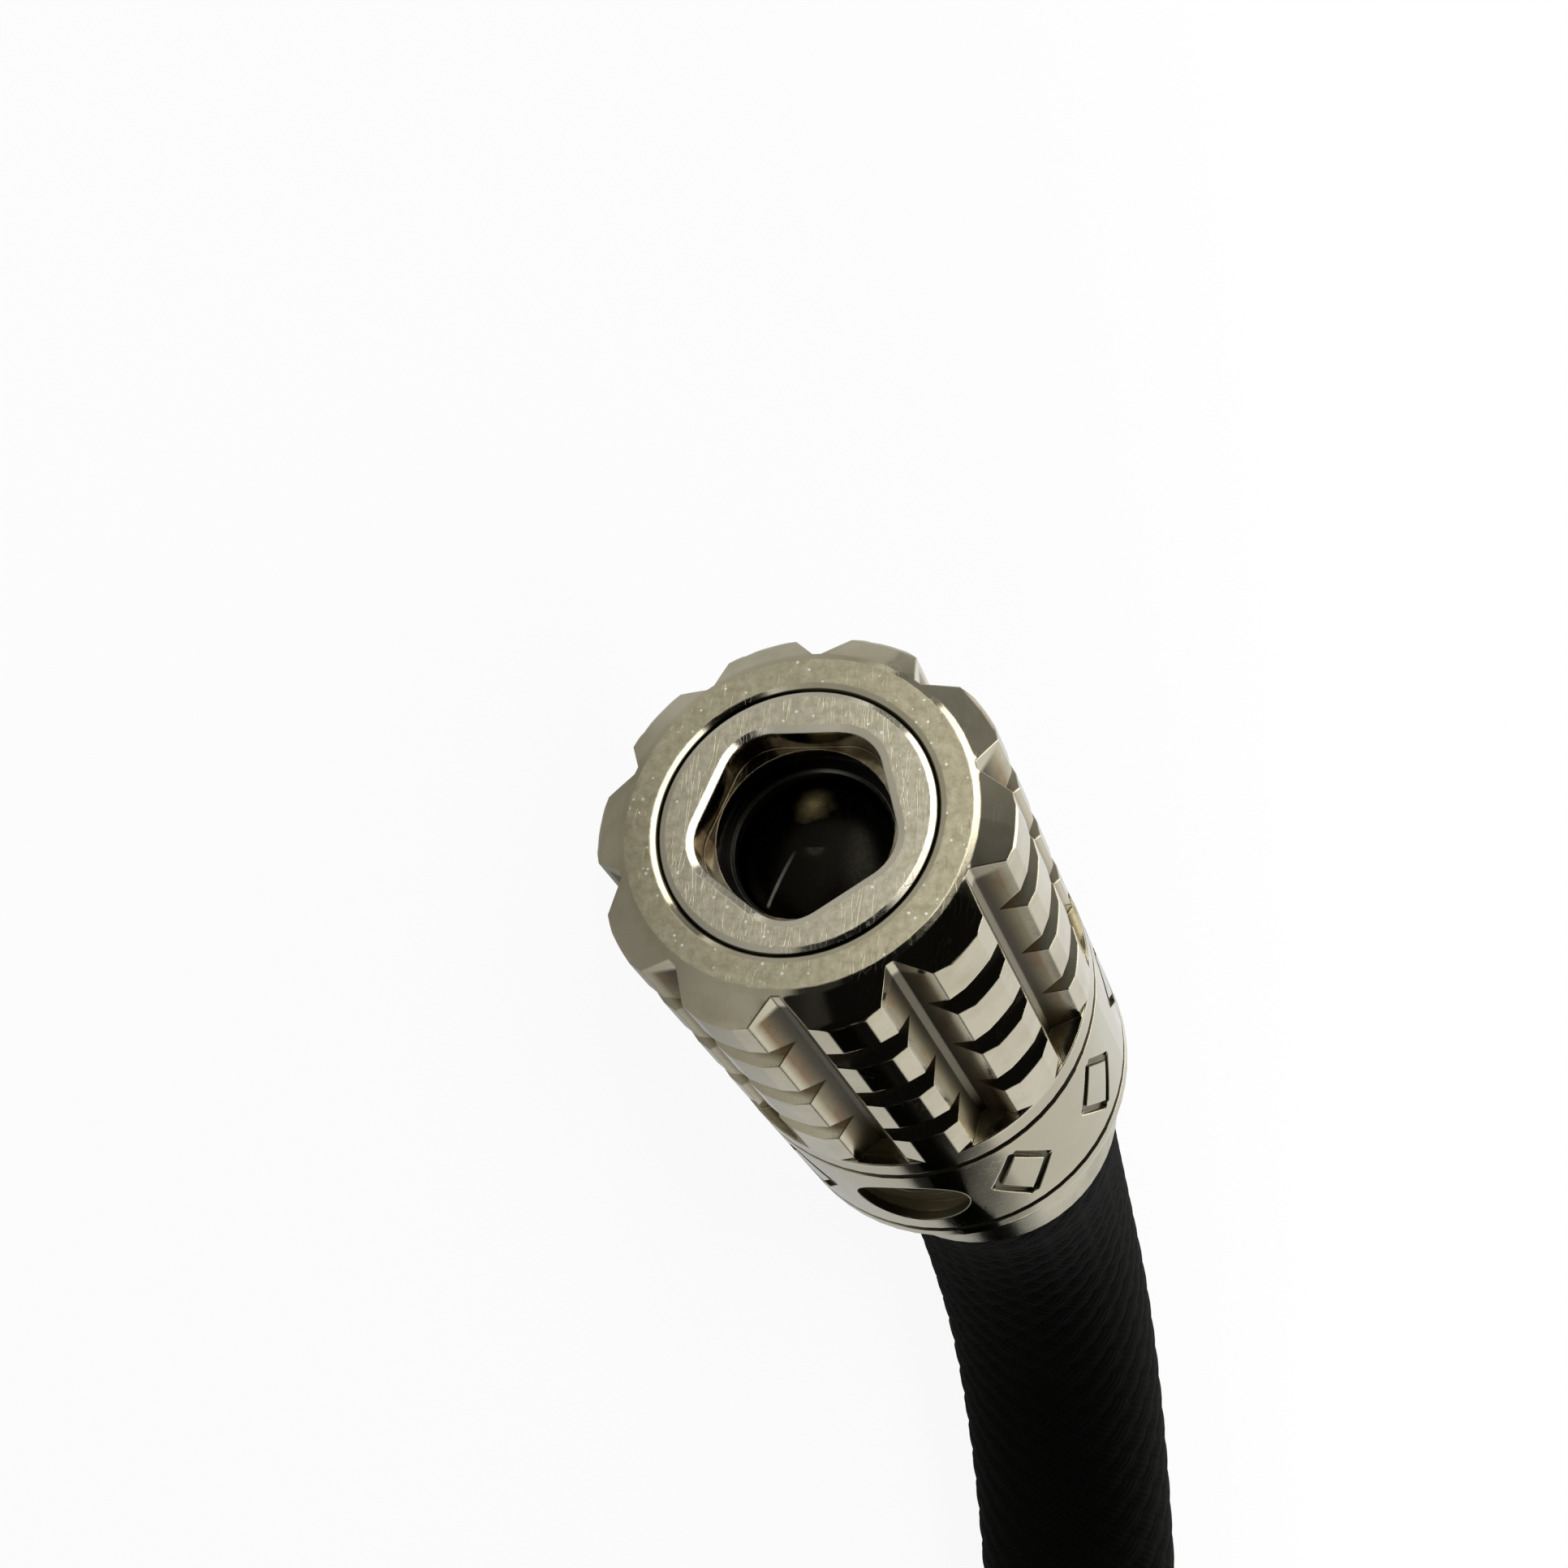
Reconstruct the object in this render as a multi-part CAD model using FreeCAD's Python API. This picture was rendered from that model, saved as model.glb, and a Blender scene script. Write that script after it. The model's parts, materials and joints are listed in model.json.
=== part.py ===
"""Cable shutter release: a knurled socket coupling, a woven release cable wound for storage, and a
push-button hand end with a lock screw.

Millimetres. The origin is the middle of the coupling's front face. The coupling's axis is Y and its
front looks along -Y. Z is up, and the whole part lies on a table at TABLE_Z. The hand end's axis runs
along +X.
"""
import FreeCAD
import Part
import math
import os

from FreeCAD import Vector

# Directions
ORIGIN = Vector(0, 0, 0)
EAST = Vector(1, 0, 0)
NORTH = Vector(0, 1, 0)
UP = Vector(0, 0, 1)

# Travel of the plunger and of the pusher
STROKE = 5.0

# How far a cutting solid reaches past what it cuts
CUT_MARGIN = 1.0

# Grip collar
LOBES = 10
LOBE_PITCH = 360.0 / LOBES
GRIP_R = 3.80
FACE_R = 3.25
COLLAR_LENGTH = 13.1
FRONT_CHAMFER = 0.43
CORNER_REACH = 0.10
BEVEL_WIDE = 0.12
BEVEL_DEEP = 0.05
RIM_EDGE = 0.02
SHOULDER_WIDE = 0.28
SHOULDER_TILT = 14.0
LAND_PITCH = 2.07
GROOVE_WIDTH = 0.84
GROOVE_DEPTH = 0.45
GROOVE_COUNT = 3
FIRST_GROOVE = 1.57
VALLEY_END = 7.86
VALLEY_FLOOR = 0.075
BAND_LINES = (8.57, 12.37)
LINE_WIDTH = 0.24
LINE_DEPTH = 0.11
REAR_ROUND = 0.30
EDGE = 0.06
PIVOT_BORE_R = 2.45
LOZENGE_HALF = (0.62, 1.25)
LOZENGE_STROKE = 0.20
LOZENGE_DEPTH = 0.09

# Collar screw: a slotted grub screw in a recess, whose dog point runs in the ferrule's groove
SCREW_Y = 10.5
RECESS_R = 1.15
RECESS_FLOOR = 3.38
SCREW_R = 0.70
SCREW_CROWN = 0.10
SCREW_HOLE_R = 0.72
DOG_R = 0.50
DOG_TIP = 2.02
SLOT_WIDTH = 0.22
SLOT_DEPTH = 0.26

# Mouth ring, with five flats and rounded corners
RING_R = 2.52
RING_LENGTH = 5.0
FLATS = 5
FLAT_APOTHEM = 1.68
CORNER_ROUND = 0.87
FIRST_FLAT = 18.0
POCKET_DEPTH = 0.60
MOUTH_BEVEL = (0.14, 0.055)
PILOT_R = 1.00
SOCKET_R = 1.62
SOCKET_END = 1.15
GUIDE_R = 1.80

# Snap ring, which keeps the pusher in
SNAP_GROOVE_R = 1.95
SNAP_WIDTH = 0.30
SNAP_BORE_R = 1.46
SNAP_EDGE = 0.05
SNAP_GAP = 0.50

# Swivel ferrule, with a cup for the cable
FERRULE_FRONT = 5.2
SLEEVE_R = 2.40
DOG_GROOVE_R = 1.95
DOG_GROOVE_WIDTH = 1.10
BUSH_START = 8.2
BUSH_END = 11.8
BUSH_R = 1.35
LIP_START = 13.25
LIP_END = 13.65
LIP_R = 3.30
CUP_R = 3.10
CUP_ROUND = 0.15
CUP_START = 14.1
CUP_END = 16.1
CUP_BORE_R = 2.78

# Pusher: domed tip, rod and the end of the core wire
TIP_Y = 1.2
TIP_R = 1.40
TIP_DOME = 0.35
TIP_HEAD = 1.5
TIP_NECK_R = 0.90
TIP_FLANGE_R = 1.72
TIP_SPARE = 0.3
TIP_FLANGE_START = SOCKET_END + SNAP_WIDTH + STROKE + TIP_SPARE
TIP_END = 8.0
ROD_R = 0.60
ROD_START = 6.0
ROD_END = 13.4
BUSH_BORE_R = 0.65
WIRE_R = 0.45
WIRE_SEAT = 11.0
WIRE_FRONT_END = 13.9

# Wound conduit
CONDUIT_R = 1.75
CONDUIT_BORE_R = 0.90
CONDUIT_WIRE = 0.55

# Cable, lying on the table
CABLE_R = 2.75
TABLE_Z = -GRIP_R
LYING = TABLE_Z + CABLE_R
HAND_X = 54.0
HAND_Y = 63.0
HAND_Z = TABLE_Z + 5.0
LEAD_ROUTE = (
    (0.0, CUP_START, 0.0),
    (0.0, 17.2, 0.0),
    (-0.8, 21.0, -0.6),
    (-0.8, 26.0, LYING),
    (1.0, 31.2, LYING),
    (4.7, 36.2, LYING),
    (10.7, 40.9, LYING),
    (16.6, 44.7, LYING),
    (23.0, 48.1, LYING),
    (29.8, 51.0, LYING),
    (37.2, 53.0, LYING),
    (44.5, 53.0, LYING),
)
TAIL_ROUTE = (
    (32.5, 17.0, LYING),
    (32.5, 22.0, LYING),
    (32.5, 27.5, 0.3),
    (32.4, 33.0, 2.7),
    (32.4, 38.5, 4.8),
    (32.6, 44.5, 5.3),
    (33.6, 50.0, 5.4),
    (36.2, 55.0, 5.0),
    (40.5, 59.2, 3.7),
    (45.8, 61.8, 2.1),
    (51.2, HAND_Y, HAND_Z),
    (HAND_X + 3.0, HAND_Y, HAND_Z),
)

# Put-away coil: quarter turns about four neighbouring centres, so it draws in at a steady rate
COIL_X = 50.0
COIL_Y = 19.0
COIL_OUTER_R = 34.0
COIL_QUARTERS = 6
TURN_PITCH = 6.0
LAST_QUARTER_R = 19.0
COIL_END_STRAIGHT = 2 * CABLE_R

# Hand ferrule, measured along the hand end's axis from the ferrule's mouth
HAND_CUP_DEPTH = 3.0
HAND_LIP = (3.25, 3.65)
HAND_SHOULDER = 5.2
HAND_SHOULDER_R = 3.80
HAND_SHOULDER_WIDTH = 1.0
NECK_R = 2.90
NECK_END = 9.0
HAND_CONDUIT_END = 7.5

# Barrel
BARREL_R = 4.60
BARREL_GRIP_R = 5.00
BARREL_BORE_R = 3.60
BARREL_END = 36.0
BARREL_NOSE = 3.0
GRIP_START = 11.0
GRIP_RINGS = 6
GRIP_RING_PITCH = 1.5
GRIP_RING_SLOPE = 0.25
GRIP_RING_CREST = 0.80
CAP_START = 26.0
CAP_HEAD_END = 39.0
CAP_HEAD_R = 3.90
CAP_ROUND = (1.4, 1.8)
ROD_BORE_R = 1.26
WASHER_START = 25.4
WASHER_BORE_R = 1.60

# Finger flange
FLANGE_START = 31.5
FLANGE_HUB_END = 35.5
FLANGE_HUB_R = 5.00
WING_SPAN = 20.0
WING_R = 3.40
WING_THICKNESS = 2.2
WING_ROUND = 0.5

# Plunger
PLUNGER_R = 1.20
PISTON_START = 20.0
PISTON_END = WASHER_START - 0.2
PISTON_R = 3.30
PISTON_EDGE = 0.2
PISTON_ROD_SEAT = 22.2
BUTTON_STEM_START = CAP_HEAD_END + STROKE + 2.5
BUTTON_STEM_R = 2.20
BUTTON_STEM_END = 48.8
BUTTON_FLARE = (49.4, 2.80)
BUTTON_BACK = 50.0
BUTTON_BACK_ROUND = 1.2
BUTTON_RIM_ROUND = 1.0
BUTTON_END = 53.6
BUTTON_R = 4.90
BUTTON_DISH_R = 3.60
BUTTON_DISH = 0.55
BUTTON_SEAT = 51.0
REAR_WIRE_START = HAND_CUP_DEPTH + STROKE + 0.4
CLAMP_AT = 21.1
CLAMP_R = 0.80
CLAMP_HOLE_BOTTOM = 0.25
CLAMP_BOTTOM = WIRE_R + 0.02
CLAMP_TOP = 2.6
SPRING_R = 2.85
SPRING_WIRE_R = 0.28
SPRING_TURNS = 6
SPRING_START = 9.35
SPRING_END = 19.65

# Lock screw, measured upward from the hand end's axis
LOCK_AT = 28.4
LOCK_STEM_R = 0.95
LOCK_HOLE_R = 1.00
SHOE_BOTTOM = 1.62
SHOE_TOP = 2.42
LOCK_STEM_BOTTOM = 2.44
LOCK_HEAD_BOTTOM = 5.40
LOCK_HEAD_TOP = 8.40
LOCK_HEAD_R = 2.60
LOCK_HEAD_EDGE = 0.30
LOCK_COLLAR_R = 1.70
LOCK_COLLAR = 0.50
LOCK_NOTCHES = 18
LOCK_NOTCH_R = 0.28
LOCK_BOSS_R = 2.10
LOCK_BOSS_TOP = 4.95

HAND = Vector(HAND_X, HAND_Y, HAND_Z)


def polar(angle, radius, y):
    """Point round the coupling's axis, at an angle from straight up towards -X."""
    turn = math.radians(angle)
    return Vector(-radius * math.sin(turn), y, radius * math.cos(turn))


def outline(points):
    """Closed wire through points, where a pair of points in a tuple is an arc by way of the first."""
    edges = []
    here = points[0]
    for item in points[1:]:
        if isinstance(item, tuple):
            middle, end = item
            edges.append(Part.Arc(here, middle, end).toShape())
        else:
            end = item
            edges.append(Part.LineSegment(here, end).toShape())
        here = end
    if not here.isEqual(points[0], 1e-7):
        edges.append(Part.LineSegment(here, points[0]).toShape())
    return Part.Wire(edges)


def turned(base, along, profile, across=UP):
    """Solid of revolution. A profile entry is (axial, radius), or for an arc its middle and its end."""
    def place(pair):
        return base + along * pair[0] + across * pair[1]

    points = []
    for entry in profile:
        if isinstance(entry[0], tuple):
            points.append((place(entry[0]), place(entry[1])))
        else:
            points.append(place(entry))
    return Part.Face(outline(points)).revolve(base, along, 360)


def dome(start, height, radius):
    """Profile arc of a domed end, from the axis out to a radius."""
    sphere = (radius ** 2 + height ** 2) / (2 * abs(height))
    half = radius / 2
    sagitta = sphere - math.sqrt(sphere ** 2 - half ** 2)
    return ((start + math.copysign(sagitta, height), half), (start + height, radius))


def crown(start, height, radius):
    """Profile arc of a domed end, from a radius in to the axis."""
    middle, rim = dome(start + height, -height, radius)
    return (middle, (start + height, 0))


def quarter_round(start, corner, end):
    """Profile arc that rounds the square corner between two profile points."""
    share = 1 - math.sqrt(0.5)
    middle = tuple(c + (s + e - 2 * c) * share for s, c, e in zip(start, corner, end))
    return (middle, end)


def rod(base, along, start, end, radius):
    """Plain cylinder between two places along an axis."""
    return Part.makeCylinder(radius, end - start, base + along * start, along)


def pipe(base, along, start, end, outer, inner):
    """Plain tube between two places along an axis."""
    bore = rod(base, along, start - CUT_MARGIN, end + CUT_MARGIN, inner)
    return rod(base, along, start, end, outer).cut(bore)


def corner_arc(before, corner, after, reach):
    """Start, middle, end and radius of the arc that rounds a corner from a distance before it."""
    back = (before - corner).normalize()
    onward = (after - corner).normalize()
    turn = math.pi - back.getAngle(onward)
    radius = reach / math.tan(turn / 2)
    middle = corner + (back + onward).normalize() * (radius / math.cos(turn / 2) - radius)
    return corner + back * reach, middle, corner + onward * reach, radius


def soft_corner(before, corner, after, reach):
    """Profile entries that round the corner between three profile points."""
    start, middle, end, radius = corner_arc(Vector(*before), Vector(*corner), Vector(*after), reach)
    return [(start.x, start.y), ((middle.x, middle.y), (end.x, end.y))]


def rounded_path(route):
    """Straight runs joined by tangent arcs, each as large as its two runs allow, and the arcs' radii."""
    points = [Vector(*p) for p in route]
    edges = []
    radii = []
    here = points[0]
    for before, corner, after in zip(points, points[1:], points[2:]):
        reach = 0.45 * min((before - corner).Length, (after - corner).Length)
        start, middle, end, radius = corner_arc(before, corner, after, reach)
        edges.append(Part.LineSegment(here, start).toShape())
        edges.append(Part.Arc(start, middle, end).toShape())
        radii.append(radius)
        here = end
    edges.append(Part.LineSegment(here, points[-1]).toShape())
    return Part.Wire(edges), radii


def swept(path, radius):
    """Round tube of one radius along a path."""
    first = path.Edges[0]
    start = first.valueAt(first.FirstParameter)
    heading = first.tangentAt(first.FirstParameter)
    section = Part.Wire(Part.Circle(start, heading, radius).toShape())
    return path.makePipeShell([section], True, False)


def coil_path():
    """Flat spiral of quarter arcs, with a straight run at each end."""
    half = TURN_PITCH / 4
    centres = (
        Vector(COIL_X, COIL_Y, LYING),
        Vector(COIL_X + half, COIL_Y, LYING),
        Vector(COIL_X + half, COIL_Y - half, LYING),
        Vector(COIL_X, COIL_Y - half, LYING),
    )
    toward = (NORTH, EAST, NORTH * -1, EAST * -1)
    start = centres[0] + NORTH * COIL_OUTER_R
    edges = [Part.LineSegment(start - EAST * COIL_END_STRAIGHT, start).toShape()]
    for quarter in range(COIL_QUARTERS):
        centre = centres[quarter % 4]
        radius = COIL_OUTER_R - half * quarter
        out = toward[quarter % 4]
        onward = toward[(quarter + 1) % 4]
        middle = centre + (out + onward).normalize() * radius
        end = centre + onward * radius
        edges.append(Part.Arc(centre + out * radius, middle, end).toShape())
    out = toward[COIL_QUARTERS % 4]
    onward = toward[(COIL_QUARTERS + 1) % 4]
    centre = end - out * LAST_QUARTER_R
    middle = centre + (out + onward).normalize() * LAST_QUARTER_R
    last = centre + onward * LAST_QUARTER_R
    edges.append(Part.Arc(end, middle, last).toShape())
    edges.append(Part.LineSegment(last, last + NORTH * COIL_END_STRAIGHT).toShape())
    return Part.Wire(edges)


def least_self_gap(path, radius, apart):
    """Least gap of a tube to itself, between points more than a length apart along its path."""
    points = path.discretize(Distance=1.0)
    step = path.Length / (len(points) - 1)
    skip = int(apart / step)
    least = min(
        (points[i] - points[j]).Length
        for i in range(len(points))
        for j in range(i + skip, len(points))
    )
    return least - 2 * radius


def biarc(start, start_heading, end, end_heading):
    """Two tangent arcs from one point and heading to another."""
    chord = end - start
    sum_heading = start_heading + end_heading
    a = 2 * (1 - start_heading.dot(end_heading))
    b = 2 * chord.dot(sum_heading)
    c = -chord.dot(chord)
    reach = (-b + math.sqrt(b * b - 4 * a * c)) / (2 * a)
    joint = (start + start_heading * reach + end - end_heading * reach) * 0.5
    return [
        tangent_arc(start, start + start_heading * reach, joint),
        tangent_arc(joint, end - end_heading * reach, end),
    ]


def tangent_arc(start, corner, end):
    """Arc from start to end whose tangents meet at corner."""
    middle = (start + end) * 0.5
    half_chord = (end - start).Length / 2
    rise = (corner - middle).Length
    quarter_turn = math.atan2(rise, half_chord) / 2
    top = middle + (corner - middle).normalize() * (half_chord * math.tan(quarter_turn))
    return Part.Arc(start, top, end).toShape()


def helix_path(base, along, across, radius, start, end, turns):
    """Helix of half-turn biarcs about an axis."""
    side = along.cross(across)
    pitch = (end - start) / turns
    rise = pitch / (2 * math.pi)

    def place(angle):
        spoke = across * math.cos(angle) + side * math.sin(angle)
        return base + along * (start + rise * angle) + spoke * radius

    def heading(angle):
        spin = side * math.cos(angle) - across * math.sin(angle)
        return (spin * radius + along * rise).normalize()

    edges = []
    for half in range(2 * turns):
        low = half * math.pi
        high = low + math.pi
        edges += biarc(place(low), heading(low), place(high), heading(high))
    return Part.Wire(edges)


def shoulder():
    """Both ends of the facet between a valley's 45 degree side and its lobe's crown, as (sideways,
    outward). It meets the crown SHOULDER_WIDE past the place where the bare side would.
    """
    offset = FACE_R - VALLEY_FLOOR
    corner_out = (offset + math.sqrt(2 * GRIP_R ** 2 - offset ** 2)) / 2
    angle = math.asin((corner_out - offset) / GRIP_R) + SHOULDER_WIDE / GRIP_R
    upper = (GRIP_R * math.sin(angle), GRIP_R * math.cos(angle))
    slope = angle - math.radians(SHOULDER_TILT)
    run = (upper[0] - upper[1] + offset) / (math.cos(slope) + math.sin(slope))
    lower = (upper[0] - run * math.cos(slope), upper[1] + run * math.sin(slope))
    return lower, upper


def valley_cutter(angle):
    """Bar that cuts one valley between two lobes: a narrow floor, 45 degree sides and flat shoulders."""
    out = polar(angle, 1, 0)
    side = polar(angle + 90, 1, 0)
    top = GRIP_R + CUT_MARGIN
    lower, upper = shoulder()
    half = [(VALLEY_FLOOR, FACE_R), lower, upper, (upper[0], top)]
    points = half + [(-sideways, outward) for sideways, outward in reversed(half)]
    section = outline([
        out * outward + side * sideways - NORTH * CUT_MARGIN for sideways, outward in points
    ])
    return Part.Face(section).extrude(NORTH * (VALLEY_END + CUT_MARGIN))


def lozenge_cutters(angle):
    """Four shallow strokes that engrave one lozenge on the rear band."""
    middle = sum(BAND_LINES) / 2
    half_wide, half_high = LOZENGE_HALF
    out = polar(angle, 1, 0)
    side = polar(angle + 90, 1, 0)
    tips = (
        NORTH * half_high,
        side * half_wide,
        NORTH * -half_high,
        side * -half_wide,
    )
    strokes = []
    for first, second in zip(tips, tips[1:] + tips[:1]):
        run = second - first
        across = run.cross(out).normalize() * (LOZENGE_STROKE / 2)
        base = out * (GRIP_R - LOZENGE_DEPTH - bulge(half_wide)) + NORTH * middle
        corners = [first + across, second + across, second - across, first - across]
        face = Part.Face(outline([base + corner for corner in corners]))
        strokes.append(face.extrude(out))
    return strokes


def bulge(half_wide):
    """How far the grip's round surface falls away half way out on a lozenge."""
    return GRIP_R - math.sqrt(GRIP_R ** 2 - (half_wide / 2) ** 2)


def screw_place(height):
    """Point on the collar screw's axis, at a distance from the coupling's axis."""
    return Vector(height, SCREW_Y, 0)


def grip_collar():
    bevel_end = (BEVEL_DEEP, FACE_R)
    chamfer_end = (FRONT_CHAMFER, GRIP_R)
    profile = [(0, FACE_R - BEVEL_WIDE), bevel_end]
    profile += soft_corner(bevel_end, chamfer_end, (FIRST_GROOVE, GRIP_R), CORNER_REACH)
    for groove in range(GROOVE_COUNT):
        start = FIRST_GROOVE + groove * LAND_PITCH
        profile += [
            (start, GRIP_R),
            (start + GROOVE_WIDTH / 2, GRIP_R - GROOVE_DEPTH),
            (start + GROOVE_WIDTH, GRIP_R),
        ]
    for line in BAND_LINES:
        profile += [
            (line - LINE_WIDTH / 2, GRIP_R),
            (line, GRIP_R - LINE_DEPTH),
            (line + LINE_WIDTH / 2, GRIP_R),
        ]
    round_start = (COLLAR_LENGTH - REAR_ROUND, GRIP_R)
    round_end = (COLLAR_LENGTH, GRIP_R - REAR_ROUND)
    profile += [
        round_start,
        quarter_round(round_start, (COLLAR_LENGTH, GRIP_R), round_end),
        (COLLAR_LENGTH, PIVOT_BORE_R + EDGE),
        (COLLAR_LENGTH - EDGE, PIVOT_BORE_R),
        (RING_LENGTH, PIVOT_BORE_R),
        (RING_LENGTH, RING_R),
        (BEVEL_DEEP + RIM_EDGE, RING_R),
        (BEVEL_DEEP, RING_R + RIM_EDGE),
        (0, RING_R + RIM_EDGE + BEVEL_WIDE),
    ]
    body = turned(ORIGIN, NORTH, profile)
    valley_angles = [LOBE_PITCH / 2 + LOBE_PITCH * k for k in range(LOBES)]
    cutters = [valley_cutter(angle) for angle in valley_angles]
    screw_angle = 270.0
    for angle in valley_angles:
        if abs(angle - screw_angle) > 1:
            cutters += lozenge_cutters(angle)
    recess = GRIP_R - RECESS_FLOOR + CUT_MARGIN
    cutters.append(Part.makeCylinder(RECESS_R, recess, screw_place(RECESS_FLOOR), EAST))
    cutters.append(Part.makeCylinder(SCREW_HOLE_R, GRIP_R - DOG_TIP, screw_place(DOG_TIP), EAST))
    return body.cut(cutters)


def collar_screw():
    screw = turned(screw_place(0), EAST, [
        (DOG_TIP, 0),
        (DOG_TIP, DOG_R),
        (PIVOT_BORE_R, DOG_R),
        (PIVOT_BORE_R, SCREW_R),
        (RECESS_FLOOR, SCREW_R),
        crown(RECESS_FLOOR, SCREW_CROWN, SCREW_R),
    ])
    slot_floor = RECESS_FLOOR + SCREW_CROWN - SLOT_DEPTH
    slot = Part.makeBox(
        SLOT_DEPTH + CUT_MARGIN, SLOT_WIDTH, 4 * SCREW_R,
        Vector(slot_floor, SCREW_Y - SLOT_WIDTH / 2, -2 * SCREW_R),
    )
    return screw.cut(slot)


def mouth_ring():
    blank = turned(ORIGIN, NORTH, [
        (0, PILOT_R),
        (0, RING_R - RIM_EDGE - BEVEL_WIDE),
        (BEVEL_DEEP, RING_R - RIM_EDGE),
        (BEVEL_DEEP + RIM_EDGE, RING_R),
        (RING_LENGTH, RING_R),
        (RING_LENGTH, GUIDE_R),
        (SOCKET_END + SNAP_WIDTH, GUIDE_R),
        (SOCKET_END + SNAP_WIDTH, SNAP_GROOVE_R),
        (SOCKET_END, SNAP_GROOVE_R),
        (SOCKET_END, SOCKET_R),
        (POCKET_DEPTH, SOCKET_R),
        (POCKET_DEPTH, PILOT_R),
    ])
    return blank.cut([five_flats(0, POCKET_DEPTH), mouth_bevel()])


def five_flats(grow, depth):
    """Prism with the mouth's five flats and rounded corners, grown outward all round."""
    reach = (FLAT_APOTHEM + grow) / math.cos(math.pi / FLATS)
    first = FIRST_FLAT + 180.0 / FLATS
    corners = [polar(first + 360.0 / FLATS * k, reach, -CUT_MARGIN) for k in range(FLATS)]
    prism = Part.Face(outline(corners)).extrude(NORTH * (depth + CUT_MARGIN))
    upright = [edge for edge in prism.Edges if abs(edge.tangentAt(edge.FirstParameter).dot(NORTH)) > 0.99]
    return prism.makeFillet(CORNER_ROUND + grow, upright)


def mouth_outline(grow, y):
    """Outline of the five-flat mouth, grown outward, at a place along the axis."""
    back = max(five_flats(grow, y).Faces, key=lambda face: face.CenterOfMass.y)
    return back.OuterWire


def mouth_bevel():
    """Shallow bevel round the five-flat mouth, which reaches as far out of the face as into it."""
    wide, deep = MOUTH_BEVEL
    return Part.makeLoft([mouth_outline(2 * wide, -deep), mouth_outline(0, deep)], True, True)


def bore_retaining_ring():
    back = SOCKET_END + SNAP_WIDTH
    ring = turned(ORIGIN, NORTH, [
        (SOCKET_END, SNAP_BORE_R + SNAP_EDGE),
        (SOCKET_END, SNAP_GROOVE_R),
        (back, SNAP_GROOVE_R),
        (back, SNAP_BORE_R),
        (SOCKET_END + SNAP_EDGE, SNAP_BORE_R),
    ])
    gap = Part.makeBox(
        2 * SNAP_GROOVE_R, SNAP_WIDTH + 2 * CUT_MARGIN, SNAP_GAP,
        Vector(0, SOCKET_END - CUT_MARGIN, -SNAP_GAP / 2),
    )
    return ring.cut(gap)


def swivel_ferrule():
    groove = (SCREW_Y - DOG_GROOVE_WIDTH / 2, SCREW_Y + DOG_GROOVE_WIDTH / 2)
    return turned(ORIGIN, NORTH, [
        (FERRULE_FRONT, GUIDE_R),
        (FERRULE_FRONT, SLEEVE_R - EDGE),
        (FERRULE_FRONT + EDGE, SLEEVE_R),
        (groove[0], SLEEVE_R),
        (groove[0], DOG_GROOVE_R),
        (groove[1], DOG_GROOVE_R),
        (groove[1], SLEEVE_R),
        (LIP_START, SLEEVE_R),
        (LIP_START, LIP_R - EDGE),
        (LIP_START + EDGE, LIP_R),
        (LIP_END - EDGE, LIP_R),
        (LIP_END, LIP_R - EDGE),
        (LIP_END, CUP_R),
        (CUP_END - CUP_ROUND, CUP_R),
        (CUP_END, CUP_R - CUP_ROUND),
        (CUP_END, CUP_BORE_R),
        (CUP_START, CUP_BORE_R),
        (CUP_START, CONDUIT_R),
        (BUSH_END, CONDUIT_R),
        (BUSH_END, BUSH_R),
        (BUSH_START, BUSH_R),
        (BUSH_START, GUIDE_R),
    ])


def pin_guide_bush():
    return turned(ORIGIN, NORTH, [
        (BUSH_START, BUSH_BORE_R + EDGE),
        (BUSH_START, BUSH_R),
        (BUSH_END, BUSH_R),
        (BUSH_END, BUSH_BORE_R),
        (BUSH_START + EDGE, BUSH_BORE_R),
    ])


def wound_conduit(base, along, start, end):
    """Bared end of the conduit, with a round crown for each turn of its wire."""
    turns = round((end - start) / CONDUIT_WIRE)
    pitch = (end - start) / turns
    valley = CONDUIT_R - pitch * 0.35
    profile = [(start, CONDUIT_BORE_R), (start, valley)]
    for turn in range(turns):
        low = start + turn * pitch
        profile.append(((low + pitch / 2, CONDUIT_R), (low + pitch, valley)))
    profile.append((end, CONDUIT_BORE_R))
    return turned(base, along, profile)


def pin_tip():
    head_end = TIP_Y + TIP_HEAD
    return turned(ORIGIN, NORTH, [
        (TIP_Y, 0),
        dome(TIP_Y, TIP_DOME, TIP_R),
        (head_end, TIP_R),
        (head_end, TIP_NECK_R),
        (TIP_FLANGE_START, TIP_NECK_R),
        (TIP_FLANGE_START, TIP_FLANGE_R),
        (TIP_END, TIP_FLANGE_R),
        (TIP_END, ROD_R),
        (ROD_START, ROD_R),
        (ROD_START, 0),
    ])


def pin_rod():
    return turned(ORIGIN, NORTH, [
        (ROD_START, 0),
        (ROD_START, ROD_R),
        (ROD_END, ROD_R),
        (ROD_END, WIRE_R),
        (WIRE_SEAT, WIRE_R),
        (WIRE_SEAT, 0),
    ])


def cable_tube(name, route):
    """Cable along a route, with its radii and length printed."""
    path, radii = rounded_path(route)
    solid = swept(path, CABLE_R)
    section = math.pi * CABLE_R ** 2
    print(name, "length %.1f" % path.Length, "radii", " ".join("%.1f" % r for r in radii),
          "volume over section times length %.4f" % (solid.Volume / (section * path.Length)))
    return solid


def cable_coil():
    path = coil_path()
    solid = swept(path, CABLE_R)
    section = math.pi * CABLE_R ** 2
    print("coil length %.1f" % path.Length,
          "least gap to itself %.2f" % least_self_gap(path, CABLE_R, 8 * CABLE_R),
          "volume over section times length %.4f" % (solid.Volume / (section * path.Length)))
    return solid


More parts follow.
